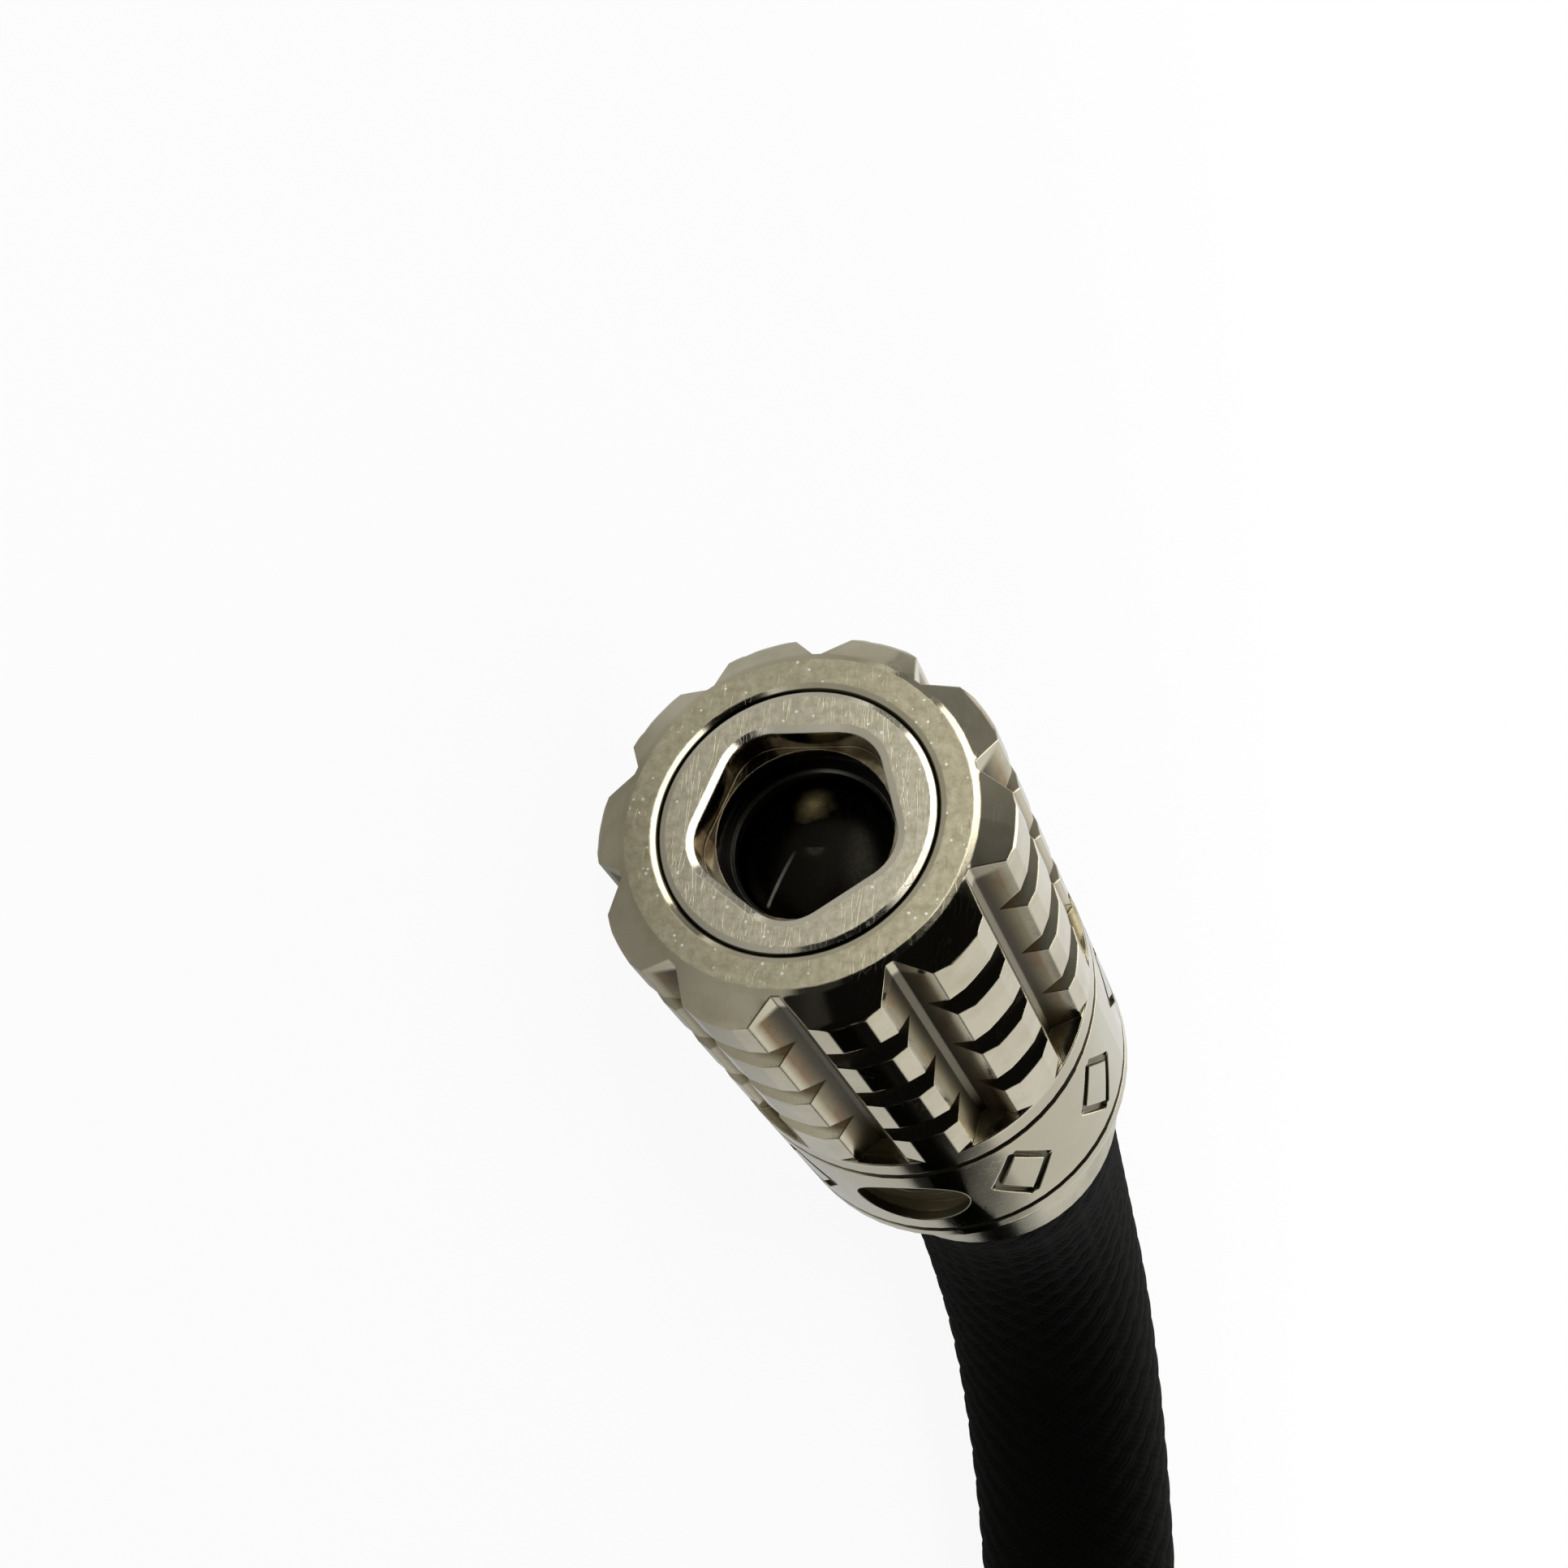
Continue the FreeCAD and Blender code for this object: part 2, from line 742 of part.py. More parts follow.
def hand_ferrule():
    lip_start, lip_end = HAND_LIP
    collar_start = HAND_SHOULDER - HAND_SHOULDER_WIDTH
    return turned(HAND, EAST, [
        (0, CUP_BORE_R),
        (0, CUP_R - CUP_ROUND),
        (CUP_ROUND, CUP_R),
        (lip_start, CUP_R),
        (lip_start, LIP_R),
        (lip_end, LIP_R),
        (lip_end, CUP_R),
        (collar_start, CUP_R),
        (collar_start, HAND_SHOULDER_R - CUP_ROUND),
        (collar_start + CUP_ROUND, HAND_SHOULDER_R),
        (HAND_SHOULDER, HAND_SHOULDER_R),
        (HAND_SHOULDER, NECK_R),
        (NECK_END, NECK_R),
        (NECK_END, CONDUIT_R),
        (HAND_CUP_DEPTH, CONDUIT_R),
        (HAND_CUP_DEPTH, CUP_BORE_R),
    ])


def barrel():
    nose_start = (HAND_SHOULDER, HAND_SHOULDER_R)
    nose_end = (HAND_SHOULDER + BARREL_NOSE, BARREL_R)
    profile = [
        nose_start,
        quarter_round(nose_start, (HAND_SHOULDER, BARREL_R), nose_end),
        (GRIP_START, BARREL_R),
    ]
    for ring in range(GRIP_RINGS):
        low = GRIP_START + ring * GRIP_RING_PITCH
        profile += [
            (low + GRIP_RING_SLOPE, BARREL_GRIP_R),
            (low + GRIP_RING_SLOPE + GRIP_RING_CREST, BARREL_GRIP_R),
            (low + 2 * GRIP_RING_SLOPE + GRIP_RING_CREST, BARREL_R),
            (low + GRIP_RING_PITCH, BARREL_R),
        ]
    profile += [
        (BARREL_END, BARREL_R),
        (BARREL_END, BARREL_BORE_R),
        (NECK_END, BARREL_BORE_R),
        (NECK_END, NECK_R),
        (HAND_SHOULDER, NECK_R),
    ]
    tube = turned(HAND, EAST, profile)
    boss = Part.makeCylinder(LOCK_BOSS_R, LOCK_BOSS_TOP, lock_place(0), UP)
    hollow = rod(HAND, EAST, 0, BARREL_END, BARREL_BORE_R)
    return tube.fuse(boss.cut(hollow)).removeSplitter().cut(lock_hole())


def lock_place(height):
    """Point on the lock screw's axis, at a height above the hand end's axis."""
    return HAND + EAST * LOCK_AT + UP * height


def lock_hole():
    return Part.makeCylinder(LOCK_HOLE_R, LOCK_BOSS_TOP + CUT_MARGIN, lock_place(0), UP)


def barrel_cap():
    round_start = (CAP_HEAD_END - CAP_ROUND[0], CAP_HEAD_R)
    round_end = (CAP_HEAD_END, CAP_HEAD_R - CAP_ROUND[1])
    cap = turned(HAND, EAST, [
        (CAP_START, ROD_BORE_R),
        (CAP_START, BARREL_BORE_R),
        (BARREL_END, BARREL_BORE_R),
        (BARREL_END, CAP_HEAD_R),
        round_start,
        quarter_round(round_start, (CAP_HEAD_END, CAP_HEAD_R), round_end),
        (CAP_HEAD_END, ROD_BORE_R),
    ])
    return cap.cut(lock_hole())


def finger_flange():
    hub = rod(HAND, EAST, FLANGE_START, FLANGE_HUB_END, FLANGE_HUB_R)
    middle = HAND + EAST * FLANGE_START
    wing = NORTH * (WING_SPAN / 2 - WING_R)
    tip = NORTH * (WING_SPAN / 2)
    top = UP * WING_R
    stadium = outline([
        middle - wing + top,
        middle + wing + top,
        (middle + tip, middle + wing - top),
        middle - wing - top,
        (middle - tip, middle - wing + top),
    ])
    wings = Part.Face(stadium).extrude(EAST * WING_THICKNESS)
    wings = wings.makeFillet(WING_ROUND, wings.Edges)
    plate = wings.fuse(hub).removeSplitter()
    return plate.cut(rod(HAND, EAST, FLANGE_START - CUT_MARGIN, FLANGE_HUB_END + CUT_MARGIN, BARREL_R))


def buffer_washer():
    return pipe(HAND, EAST, WASHER_START, CAP_START, PISTON_R, WASHER_BORE_R)


def plunger_rod():
    return turned(HAND, EAST, [
        (PISTON_ROD_SEAT, 0),
        (PISTON_ROD_SEAT, PLUNGER_R),
        (BUTTON_SEAT, PLUNGER_R),
        (BUTTON_SEAT, 0),
    ])


def plunger_piston():
    body = turned(HAND, EAST, [
        (PISTON_START, WIRE_R),
        (PISTON_START, PISTON_R - PISTON_EDGE),
        (PISTON_START + PISTON_EDGE, PISTON_R),
        (PISTON_END, PISTON_R),
        (PISTON_END, PLUNGER_R),
        (PISTON_ROD_SEAT, PLUNGER_R),
        (PISTON_ROD_SEAT, WIRE_R),
    ])
    hole_start = HAND + EAST * CLAMP_AT + UP * CLAMP_HOLE_BOTTOM
    return body.cut(Part.makeCylinder(CLAMP_R, PISTON_R, hole_start, UP))


def wire_clamp_screw():
    base = HAND + EAST * CLAMP_AT
    screw = Part.makeCylinder(CLAMP_R, CLAMP_TOP - CLAMP_BOTTOM, base + UP * CLAMP_BOTTOM, UP)
    slot = Part.makeBox(
        4 * CLAMP_R, SLOT_WIDTH, SLOT_DEPTH,
        base + Vector(-2 * CLAMP_R, -SLOT_WIDTH / 2, CLAMP_TOP - SLOT_DEPTH),
    )
    return screw.cut(slot)


def thumb_button():
    """Mushroom button: a stem, a flared neck, a rim and a dished face."""
    dish_floor = BUTTON_END - BUTTON_DISH
    rim_start = (BUTTON_END, BUTTON_R - BUTTON_RIM_ROUND)
    rim_end = (BUTTON_END - BUTTON_RIM_ROUND, BUTTON_R)
    back_start = (BUTTON_BACK + BUTTON_BACK_ROUND, BUTTON_R)
    back_end = (BUTTON_BACK, BUTTON_R - BUTTON_BACK_ROUND)
    return turned(HAND, EAST, [
        (dish_floor, 0),
        dome(dish_floor, BUTTON_DISH, BUTTON_DISH_R),
        rim_start,
        quarter_round(rim_start, (BUTTON_END, BUTTON_R), rim_end),
        back_start,
        quarter_round(back_start, (BUTTON_BACK, BUTTON_R), back_end),
        (BUTTON_FLARE, (BUTTON_STEM_END, BUTTON_STEM_R)),
        (BUTTON_STEM_START + CUP_ROUND, BUTTON_STEM_R),
        (BUTTON_STEM_START, BUTTON_STEM_R - CUP_ROUND),
        (BUTTON_STEM_START, PLUNGER_R),
        (BUTTON_SEAT, PLUNGER_R),
        (BUTTON_SEAT, 0),
    ])


def plunger_spring():
    path = helix_path(HAND, EAST, UP, SPRING_R, SPRING_START, SPRING_END, SPRING_TURNS)
    solid = swept(path, SPRING_WIRE_R)
    print("spring length %.1f" % path.Length,
          "least gap to itself %.2f" % least_self_gap(path, SPRING_WIRE_R, 4 * SPRING_R))
    return solid


def lock_shoe():
    return Part.makeCylinder(LOCK_STEM_R, SHOE_TOP - SHOE_BOTTOM, lock_place(SHOE_BOTTOM), UP)


def lock_screw():
    skirt = LOCK_HEAD_BOTTOM + LOCK_COLLAR
    screw = turned(lock_place(0), UP, [
        (LOCK_STEM_BOTTOM, 0),
        (LOCK_STEM_BOTTOM, LOCK_STEM_R),
        (LOCK_HEAD_BOTTOM, LOCK_STEM_R),
        (LOCK_HEAD_BOTTOM, LOCK_COLLAR_R),
        (skirt, LOCK_COLLAR_R),
        (skirt, LOCK_HEAD_R - LOCK_HEAD_EDGE),
        (skirt + LOCK_HEAD_EDGE, LOCK_HEAD_R),
        (LOCK_HEAD_TOP - LOCK_HEAD_EDGE, LOCK_HEAD_R),
        (LOCK_HEAD_TOP, LOCK_HEAD_R - LOCK_HEAD_EDGE),
        (LOCK_HEAD_TOP, 0),
    ], across=EAST)
    notches = []
    height = LOCK_HEAD_TOP - LOCK_HEAD_BOTTOM + CUT_MARGIN
    for notch in range(LOCK_NOTCHES):
        spin = 2 * math.pi * notch / LOCK_NOTCHES
        spoke = Vector(math.cos(spin), math.sin(spin), 0) * (LOCK_HEAD_R + LOCK_NOTCH_R / 3)
        notches.append(Part.makeCylinder(LOCK_NOTCH_R, height, lock_place(LOCK_HEAD_BOTTOM) + spoke, UP))
    return screw.cut(notches)


def make_parts():
    return {
        "grip_collar": grip_collar(),
        "mouth_ring": mouth_ring(),
        "bore_retaining_ring": bore_retaining_ring(),
        "collar_screw": collar_screw(),
        "swivel_ferrule": swivel_ferrule(),
        "pin_guide_bush": pin_guide_bush(),
        "conduit_end_front": wound_conduit(ORIGIN, NORTH, BUSH_END, CUP_START),
        "pin_tip": pin_tip(),
        "pin_rod": pin_rod(),
        "core_wire_front": rod(ORIGIN, NORTH, WIRE_SEAT, WIRE_FRONT_END, WIRE_R),
        "cable_lead": cable_tube("lead", LEAD_ROUTE),
        "cable_coil": cable_coil(),
        "cable_tail": cable_tube("tail", TAIL_ROUTE),
        "hand_ferrule": hand_ferrule(),
        "conduit_end_rear": wound_conduit(HAND, EAST, HAND_CUP_DEPTH, HAND_CONDUIT_END),
        "barrel": barrel(),
        "barrel_cap": barrel_cap(),
        "finger_flange": finger_flange(),
        "buffer_washer": buffer_washer(),
        "plunger_rod": plunger_rod(),
        "thumb_button": thumb_button(),
        "plunger_piston": plunger_piston(),
        "wire_clamp_screw": wire_clamp_screw(),
        "core_wire_rear": rod(HAND, EAST, REAR_WIRE_START, PISTON_ROD_SEAT, WIRE_R),
        "plunger_spring": plunger_spring(),
        "lock_screw": lock_screw(),
        "lock_shoe": lock_shoe(),
    }


os.makedirs("parts", exist_ok=True)
for node, shape in make_parts().items():
    shape.exportStep("parts/" + node + ".step")
    box = shape.BoundBox
    reach = (box.XMin, box.XMax, box.YMin, box.YMax, box.ZMin, box.ZMax)
    print(node, "solids", len(shape.Solids), "valid", shape.isValid(), "volume %.2f" % shape.Volume,
          "x %.2f %.2f y %.2f %.2f z %.2f %.2f" % reach)
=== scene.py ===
import json
import math

import bpy
import numpy as np
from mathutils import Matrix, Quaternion, Vector


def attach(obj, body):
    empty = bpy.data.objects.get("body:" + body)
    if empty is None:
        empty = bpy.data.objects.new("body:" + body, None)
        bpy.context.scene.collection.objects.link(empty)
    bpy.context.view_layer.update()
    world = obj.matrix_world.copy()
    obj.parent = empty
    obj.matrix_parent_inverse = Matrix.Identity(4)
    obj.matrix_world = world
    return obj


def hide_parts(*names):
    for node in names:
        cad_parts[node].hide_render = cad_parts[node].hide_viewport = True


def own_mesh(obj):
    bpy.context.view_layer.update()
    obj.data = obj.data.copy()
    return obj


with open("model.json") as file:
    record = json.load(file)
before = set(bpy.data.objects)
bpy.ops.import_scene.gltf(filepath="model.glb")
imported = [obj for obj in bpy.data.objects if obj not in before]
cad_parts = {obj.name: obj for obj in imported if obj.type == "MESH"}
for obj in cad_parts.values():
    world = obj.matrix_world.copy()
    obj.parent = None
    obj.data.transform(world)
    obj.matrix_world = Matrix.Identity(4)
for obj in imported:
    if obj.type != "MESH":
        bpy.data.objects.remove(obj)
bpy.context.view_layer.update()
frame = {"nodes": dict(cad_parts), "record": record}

MM = 0.001

# Camera, as it stood for the photograph: it is turned on its side
CAMERA_PLACE = (17.03, -36.94, 12.25)
CAMERA_AZIMUTH = 25.60
CAMERA_ELEVATION = 17.02
CAMERA_ROLL = 89.09
CAMERA_LENS = 56.55
CAMERA_SENSOR = 36.0

# Lamps: place and target in metres, width, height and power
KEY_LAMP = ((-0.12, 0.22, 0.32), (0.01, 0.01, 0.0), 0.35, 0.35, 0.9)
FILL_LAMP = ((-0.148, -0.285, 0.111), (0.0, 0.0, 0.0), 0.44, 0.135, 0.43)

# Light of the world: what the dark room in front and its left side give to reflections, and what all of it
# gives to surfaces
ROOM_GLOW = 0.006
LEFT_GLOW = 0.30
WORLD_LIGHT = 0.12

# White backdrop that reflections see, each pair as parts of a direction between which it fades: how far it
# is turned, its near edge, its top, the dark gap in it towards +X and the gap's top, the horizon, and the
# span of the room's lighter left side
BACKDROP_TURN = 0.25
BACKDROP_EDGE = (0.05, 0.45)
BACKDROP_TOP = (0.55, 0.80)
GAP_EAST = (0.26, 0.36)
GAP_TOP = (0.16, 0.22)
HORIZON = (-0.05, 0.05)
LEFT_SPAN = (-0.6, 0.1)

# Table: its middle in millimetres, its radius and the span over which its shadows fade in metres, how much
# of the white it shows near and far, and its colour
TABLE_MIDDLE = (40.0, 30.0)
TABLE_GAP = 0.02
TABLE_REACH = 1.2
TABLE_CORNERS = 64
SHADOW_SPAN = (0.03, 0.13)
WHITE_SHARE = (0.93, 1.0)
TABLE_COLOUR = (0.88, 0.88, 0.87, 1.0)

# White sheet under the coupling, as metal sees it, with painted light and painted shade that only
# reflections show, in metres from the table's middle: where it turns dark towards +X, where it grows bright
# towards +Y and far out towards -Y, and how bright it gets there
SHEET_EDGE = (-0.0310, -0.0285)
SHEET_LIT = (-0.038, -0.018)
SHEET_FRONT = (-0.062, -0.040)
SHEET_BACK_GLOW = 0.5
SHEET_FRONT_GLOW = 1.0
SHEET_DARKNESS = 0.97

# Where the sheet is plain again, under the hand end, along X and Y from the table's middle
HAND_SHEET = ((0.005, 0.012), (-0.010, 0.0))

# Worn plate: the scratches' directions in degrees, and shares of the finest wear
SCRATCH_TURNS = ((0, 0, 25), (40, 15, 80), (10, 60, 140), (75, 30, 200))
SCRATCH_WIDTH = 0.012
PATCH_FADE = 0.04
SPECK_REACH = (0.08, 0.46)
FROST_SPAN = (0.36, 0.64)
SPECK_COLOUR = (1.0, 0.98, 0.88, 1.0)
SEAM_COLOUR = (0.035, 0.030, 0.016, 1.0)

# Depths, in millimetres, between which the front face's finish ends
FACE_EDGE = (0.0005, 0.003)

# Coupling: places that its wear, dirt, painted light and painted shade follow
FACE_R = 3.25
GRIP_R = 3.80
CHAMFER_END = 0.43
SEAM_R = 2.52
SEAM_HALF = 0.042
BAND = (8.4, 12.6)
BAND_MARK_DEPTH = 0.18
MOUTH_R = 2.2
LEDGE = 0.60
SNAP_RING_EDGE = (1.48, 1.53)
# Painted glint on the tip's dome, and the ends of a painted light streak across it
PAINTED_GLINT_SPOT = (-0.90, 1.35, -0.15)
STREAK_START = (0.05, 1.22, -0.33)
STREAK_END = (0.99, 1.48, -0.80)

# Table and cable
TABLE_Z = -3.80
CABLE_R = 2.75
LYING = TABLE_Z + CABLE_R
CUP_START = 14.1
HAND_X = 54.0
HAND_Y = 63.0
HAND_Z = 1.20
LEAD_ROUTE = (
    (0.0, CUP_START, 0.0),
    (0.0, 17.2, 0.0),
    (-0.8, 21.0, -0.6),
    (-0.8, 26.0, LYING),
    (1.0, 31.2, LYING),
    (4.7, 36.2, LYING),
    (10.7, 40.9, LYING),
    (16.6, 44.7, LYING),
    (23.0, 48.1, LYING),
    (29.8, 51.0, LYING),
    (37.2, 53.0, LYING),
    (44.5, 53.0, LYING),
)
TAIL_ROUTE = (
    (32.5, 17.0, LYING),
    (32.5, 22.0, LYING),
    (32.5, 27.5, 0.3),
    (32.4, 33.0, 2.7),
    (32.4, 38.5, 4.8),
    (32.6, 44.5, 5.3),
    (33.6, 50.0, 5.4),
    (36.2, 55.0, 5.0),
    (40.5, 59.2, 3.7),
    (45.8, 61.8, 2.1),
    (51.2, HAND_Y, HAND_Z),
    (HAND_X + 3.0, HAND_Y, HAND_Z),
)
COIL_X = 50.0
COIL_Y = 19.0
COIL_OUTER_R = 34.0
COIL_QUARTERS = 6
COIL_POINTS = 6
TURN_PITCH = 6.0
LAST_QUARTER_R = 19.0

# Return spring in the barrel, measured along the hand end's axis, and the share of its winding at each end
# that is closed up
SPRING_R = 2.85
SPRING_WIRE_R = 0.28
SPRING_REACH = (9.07, 19.93)
SPRING_TURNS = 8
CLOSED_SHARE = 0.12

# Braid of the cable's cover: bundles of threads that cross over and under each other
CARRIERS = 16
CELL = 1.08
BUNDLE_THICKNESS = 0.09
SWELL = 0.06
SWELL_START = 2.2
SWELL_END = 4.5
AROUND = 96
RING_STEP = 0.18


def cable_points():
    """Control points of the whole cable: the lead, the coil's turns worked out, and the tail."""
    half = TURN_PITCH / 4
    centres = (
        (COIL_X, COIL_Y),
        (COIL_X + half, COIL_Y),
        (COIL_X + half, COIL_Y - half),
        (COIL_X, COIL_Y - half),
    )
    points = list(LEAD_ROUTE)
    step = math.pi / 2 / COIL_POINTS
    for quarter in range(COIL_QUARTERS + 1):
        last = quarter == COIL_QUARTERS
        x, y = centres[quarter % 4]
        radius = COIL_OUTER_R - half * quarter
        turn = math.pi / 2 * quarter
        if last:
            x += (radius - LAST_QUARTER_R) * math.sin(turn)
            y += (radius - LAST_QUARTER_R) * math.cos(turn)
            radius = LAST_QUARTER_R
        reach = radius / math.cos(step / 2)
        for index in range(COIL_POINTS):
            angle = turn + step * (index + 0.5)
            points.append((x + reach * math.sin(angle), y + reach * math.cos(angle), LYING))
    return points + list(TAIL_ROUTE)


def cable_line():
    """Places down the middle of the cable, read from one NURBS spline through its control points."""
    curve = bpy.data.curves.new("cable_route", "CURVE")
    curve.dimensions = "3D"
    curve.resolution_u = 24
    spline = curve.splines.new("NURBS")
    places = cable_points()
    spline.points.add(len(places) - 1)
    for point, place in zip(spline.points, places):
        point.co = (place[0] * MM, place[1] * MM, place[2] * MM, 1)
    spline.order_u = 3
    spline.use_endpoint_u = True
    holder = bpy.data.objects.new("cable_route", curve)
    mesh = bpy.data.meshes.new_from_object(holder)
    line = np.array([vertex.co for vertex in mesh.vertices])
    bpy.data.objects.remove(holder)
    bpy.data.meshes.remove(mesh)
    return line


def evenly_spaced(line, step):
    """The line again with even steps, and the distance of each of its places from the start."""
    runs = np.linalg.norm(np.diff(line, axis=0), axis=1)
    along = np.concatenate([[0], np.cumsum(runs)])
    distance = np.linspace(0, along[-1], int(along[-1] / step) + 1)
    places = np.stack([np.interp(distance, along, line[:, axis]) for axis in range(3)], axis=1)
    return places, distance


def carried_frames(places):
    """Two directions across the line at each place, carried along it without twist."""
    heading = np.gradient(places, axis=0)
    heading /= np.linalg.norm(heading, axis=1)[:, None]
    first = np.empty_like(places)
    side = np.array([0.0, 0.0, 1.0])
    for index, direction in enumerate(heading):
        side = side - direction * side.dot(direction)
        side /= np.linalg.norm(side)
        first[index] = side
    return first, np.cross(heading, first)


def braid_height(across, along):
    """Height of the braid's surface, from 0 to 1, where across counts carriers and along counts cells."""
    right = across + along
    left = across - along
    over = np.where((np.floor(right) + np.floor(left)) % 2 == 0, 1.0, -1.0)
    right_part = right % 1
    left_part = left % 1
    right_crown = np.sqrt(1 - np.abs(2 * right_part - 1) ** 3)
    left_crown = np.sqrt(1 - np.abs(2 * left_part - 1) ** 3)
    right_height = 0.5 * right_crown + 0.5 * over * np.sin(math.pi * left_part)
    left_height = 0.5 * left_crown - 0.5 * over * np.sin(math.pi * right_part)
    return np.maximum(right_height, left_height)


def braided_cable(line):
    """Tube round the line, whose surface rises and falls with the crossing bundles of its braid."""
    places, distance = evenly_spaced(line, RING_STEP * MM)
    first, second = carried_frames(places)
    turn = np.arange(AROUND) / AROUND
    across = np.broadcast_to(turn * CARRIERS, (len(places), AROUND))
    along = np.broadcast_to((distance / (CELL * MM))[:, None], across.shape)
    from_end = np.minimum(distance, distance[-1] - distance) / MM
    swell = SWELL * np.clip((from_end - SWELL_START) / (SWELL_END - SWELL_START), 0, 1)[:, None]
    radius = (CABLE_R + swell - BUNDLE_THICKNESS * (1 - braid_height(across, along))) * MM
    spoke = (
        first[:, None, :] * np.cos(2 * math.pi * turn)[None, :, None]
        + second[:, None, :] * np.sin(2 * math.pi * turn)[None, :, None]
    )
    vertices = (places[:, None, :] + spoke * radius[:, :, None]).reshape(-1, 3)
    ring = np.arange(AROUND)
    after = (ring + 1) % AROUND
    base = (np.arange(len(places) - 1) * AROUND)[:, None]
    faces = np.stack([base + ring, base + after, base + AROUND + after, base + AROUND + ring], axis=2)
    ends = [list(range(AROUND))[::-1], list(range(len(vertices) - AROUND, len(vertices)))]
    mesh = bpy.data.meshes.new("cable")
    mesh.from_pydata(vertices.tolist(), [], faces.reshape(-1, 4).tolist() + ends)
    braid_map(mesh, distance)
    mesh.polygons.foreach_set("use_smooth", [True] * len(mesh.polygons))
    cable = bpy.data.objects.new("cable", mesh)
    bpy.context.scene.collection.objects.link(cable)
    return cable, places


def braid_map(mesh, distance):
    """Map that counts carriers across and cells along, for the cable's material."""
    layer = mesh.uv_layers.new(name="braid")
    ring = np.arange(AROUND, dtype=float) * CARRIERS / AROUND
    step = CARRIERS / AROUND
    cells = distance / (CELL * MM)
    quads = np.zeros((len(distance) - 1, AROUND, 4, 2))
    quads[:, :, 0, 0] = ring
    quads[:, :, 1, 0] = ring + step
    quads[:, :, 2, 0] = ring + step
    quads[:, :, 3, 0] = ring
    quads[:, :, 0, 1] = cells[:-1, None]
    quads[:, :, 1, 1] = cells[:-1, None]
    quads[:, :, 2, 1] = cells[1:, None]
    quads[:, :, 3, 1] = cells[1:, None]
    values = np.concatenate([quads.reshape(-1), np.zeros(2 * AROUND * 2)])
    layer.data.foreach_set("uv", values)


class Nodes:
    """Short way to make and join the nodes of one material or world."""

    def __init__(self, owner, output):
        self.owner = owner
        self.owner.use_nodes = True
        self.tree = self.owner.node_tree
        self.tree.nodes.clear()
        self.output = self.tree.nodes.new(output)

    def add(self, kind, **settings):
        node = self.tree.nodes.new("ShaderNode" + kind)
        for key, value in settings.items():
            setattr(node, key, value)
        return node

    def put(self, socket, value):
        """Joins an output to the socket, or sets the socket's own value."""
        if isinstance(value, bpy.types.NodeSocket):
            self.tree.links.new(value, socket)
        else:
            socket.default_value = value

    def math(self, operation, *values, clamp=False):
        node = self.add("Math", operation=operation, use_clamp=clamp)
        for socket, value in zip(node.inputs, values):
            self.put(socket, value)
        return node.outputs[0]

    def mix(self, factor, low, high):
        """Colour between low and high."""
        node = self.add("Mix", data_type="RGBA")
        self.put(node.inputs[0], factor)
        self.put(node.inputs[6], low)
        self.put(node.inputs[7], high)
        return node.outputs[2]

    def ramp(self, value, low, high, start=0.0, end=1.0):
        """Value brought from between start and end to between low and high."""
        node = self.add("MapRange", clamp=True)
        for socket, setting in zip(node.inputs, (value, start, end, low, high)):
            self.put(socket, setting)
        return node.outputs[0]

    def place(self, scale=(1, 1, 1), turn=(0, 0, 0)):
        """Place on the part in millimetres, stretched and turned."""
        coordinates = self.add("TexCoord")
        node = self.add("Mapping")
        self.put(node.inputs["Vector"], coordinates.outputs["Object"])
        node.inputs["Scale"].default_value = [factor / MM for factor in scale]
        node.inputs["Rotation"].default_value = [math.radians(angle) for angle in turn]
        return node.outputs[0]

    def noise(self, vector, scale, detail=3.0, roughness=0.5):
        """Soft noise between 0 and 1."""
        node = self.add("TexNoise")
        self.put(node.inputs["Vector"], vector)
        node.inputs["Scale"].default_value = scale
        node.inputs["Detail"].default_value = detail
        node.inputs["Roughness"].default_value = roughness
        return node.outputs["Fac"]

    def cells(self, scale):
        """Voronoi cells, with that many of them in a millimetre."""
        node = self.add("TexVoronoi")
        self.put(node.inputs["Vector"], self.place())
        node.inputs["Scale"].default_value = scale
        return node

    def bump(self, height, strength, distance, normal=None):
        """Normal of a surface that rises and falls with height, by a distance in millimetres."""
        node = self.add("Bump")
        self.put(node.inputs["Strength"], strength)
        node.inputs["Distance"].default_value = distance * MM
        self.put(node.inputs["Height"], height)
        if normal is not None:
            self.put(node.inputs["Normal"], normal)
        return node.outputs[0]

    def surface(self, **inputs):
        """Principled shader with the inputs given, as the surface of the material, which it returns."""
        shader = self.add("BsdfPrincipled")
        for key, value in inputs.items():
            self.put(shader.inputs[key.replace("_", " ").title().replace("Ior", "IOR")], value)
        self.tree.links.new(shader.outputs[0], self.output.inputs[0])
        return self.owner


def material_nodes(name):
    return Nodes(bpy.data.materials.new(name), "ShaderNodeOutputMaterial")


def colour(red, green, blue):
    """Opaque colour."""
    return (red, green, blue, 1.0)


def scratches(nodes, turn, bare):
    """Fine scratches all one way, each a narrow band of a stretched noise. The higher bare is, the larger
    are the patches without any.
    """
    field = nodes.noise(nodes.place((0.5, 6.0, 6.0), turn), 1.0, detail=1.0)
    off_middle = nodes.math("ABSOLUTE", nodes.math("SUBTRACT", field, 0.5))
    line = nodes.ramp(off_middle, 1.0, 0.0, 0.0, SCRATCH_WIDTH)
    patch = nodes.noise(nodes.place((0.9, 0.9, 0.9), turn), 1.0, detail=2.0)
    marked = nodes.ramp(patch, 0.0, 1.0, bare - PATCH_FADE, bare + PATCH_FADE)
    return nodes.math("MULTIPLY", line, marked)


def all_scratches(nodes, bare):
    """Scratches in four directions."""
    marks = scratches(nodes, SCRATCH_TURNS[0], bare)
    for turn in SCRATCH_TURNS[1:]:
        marks = nodes.math("MAXIMUM", marks, scratches(nodes, turn, bare))
    return marks


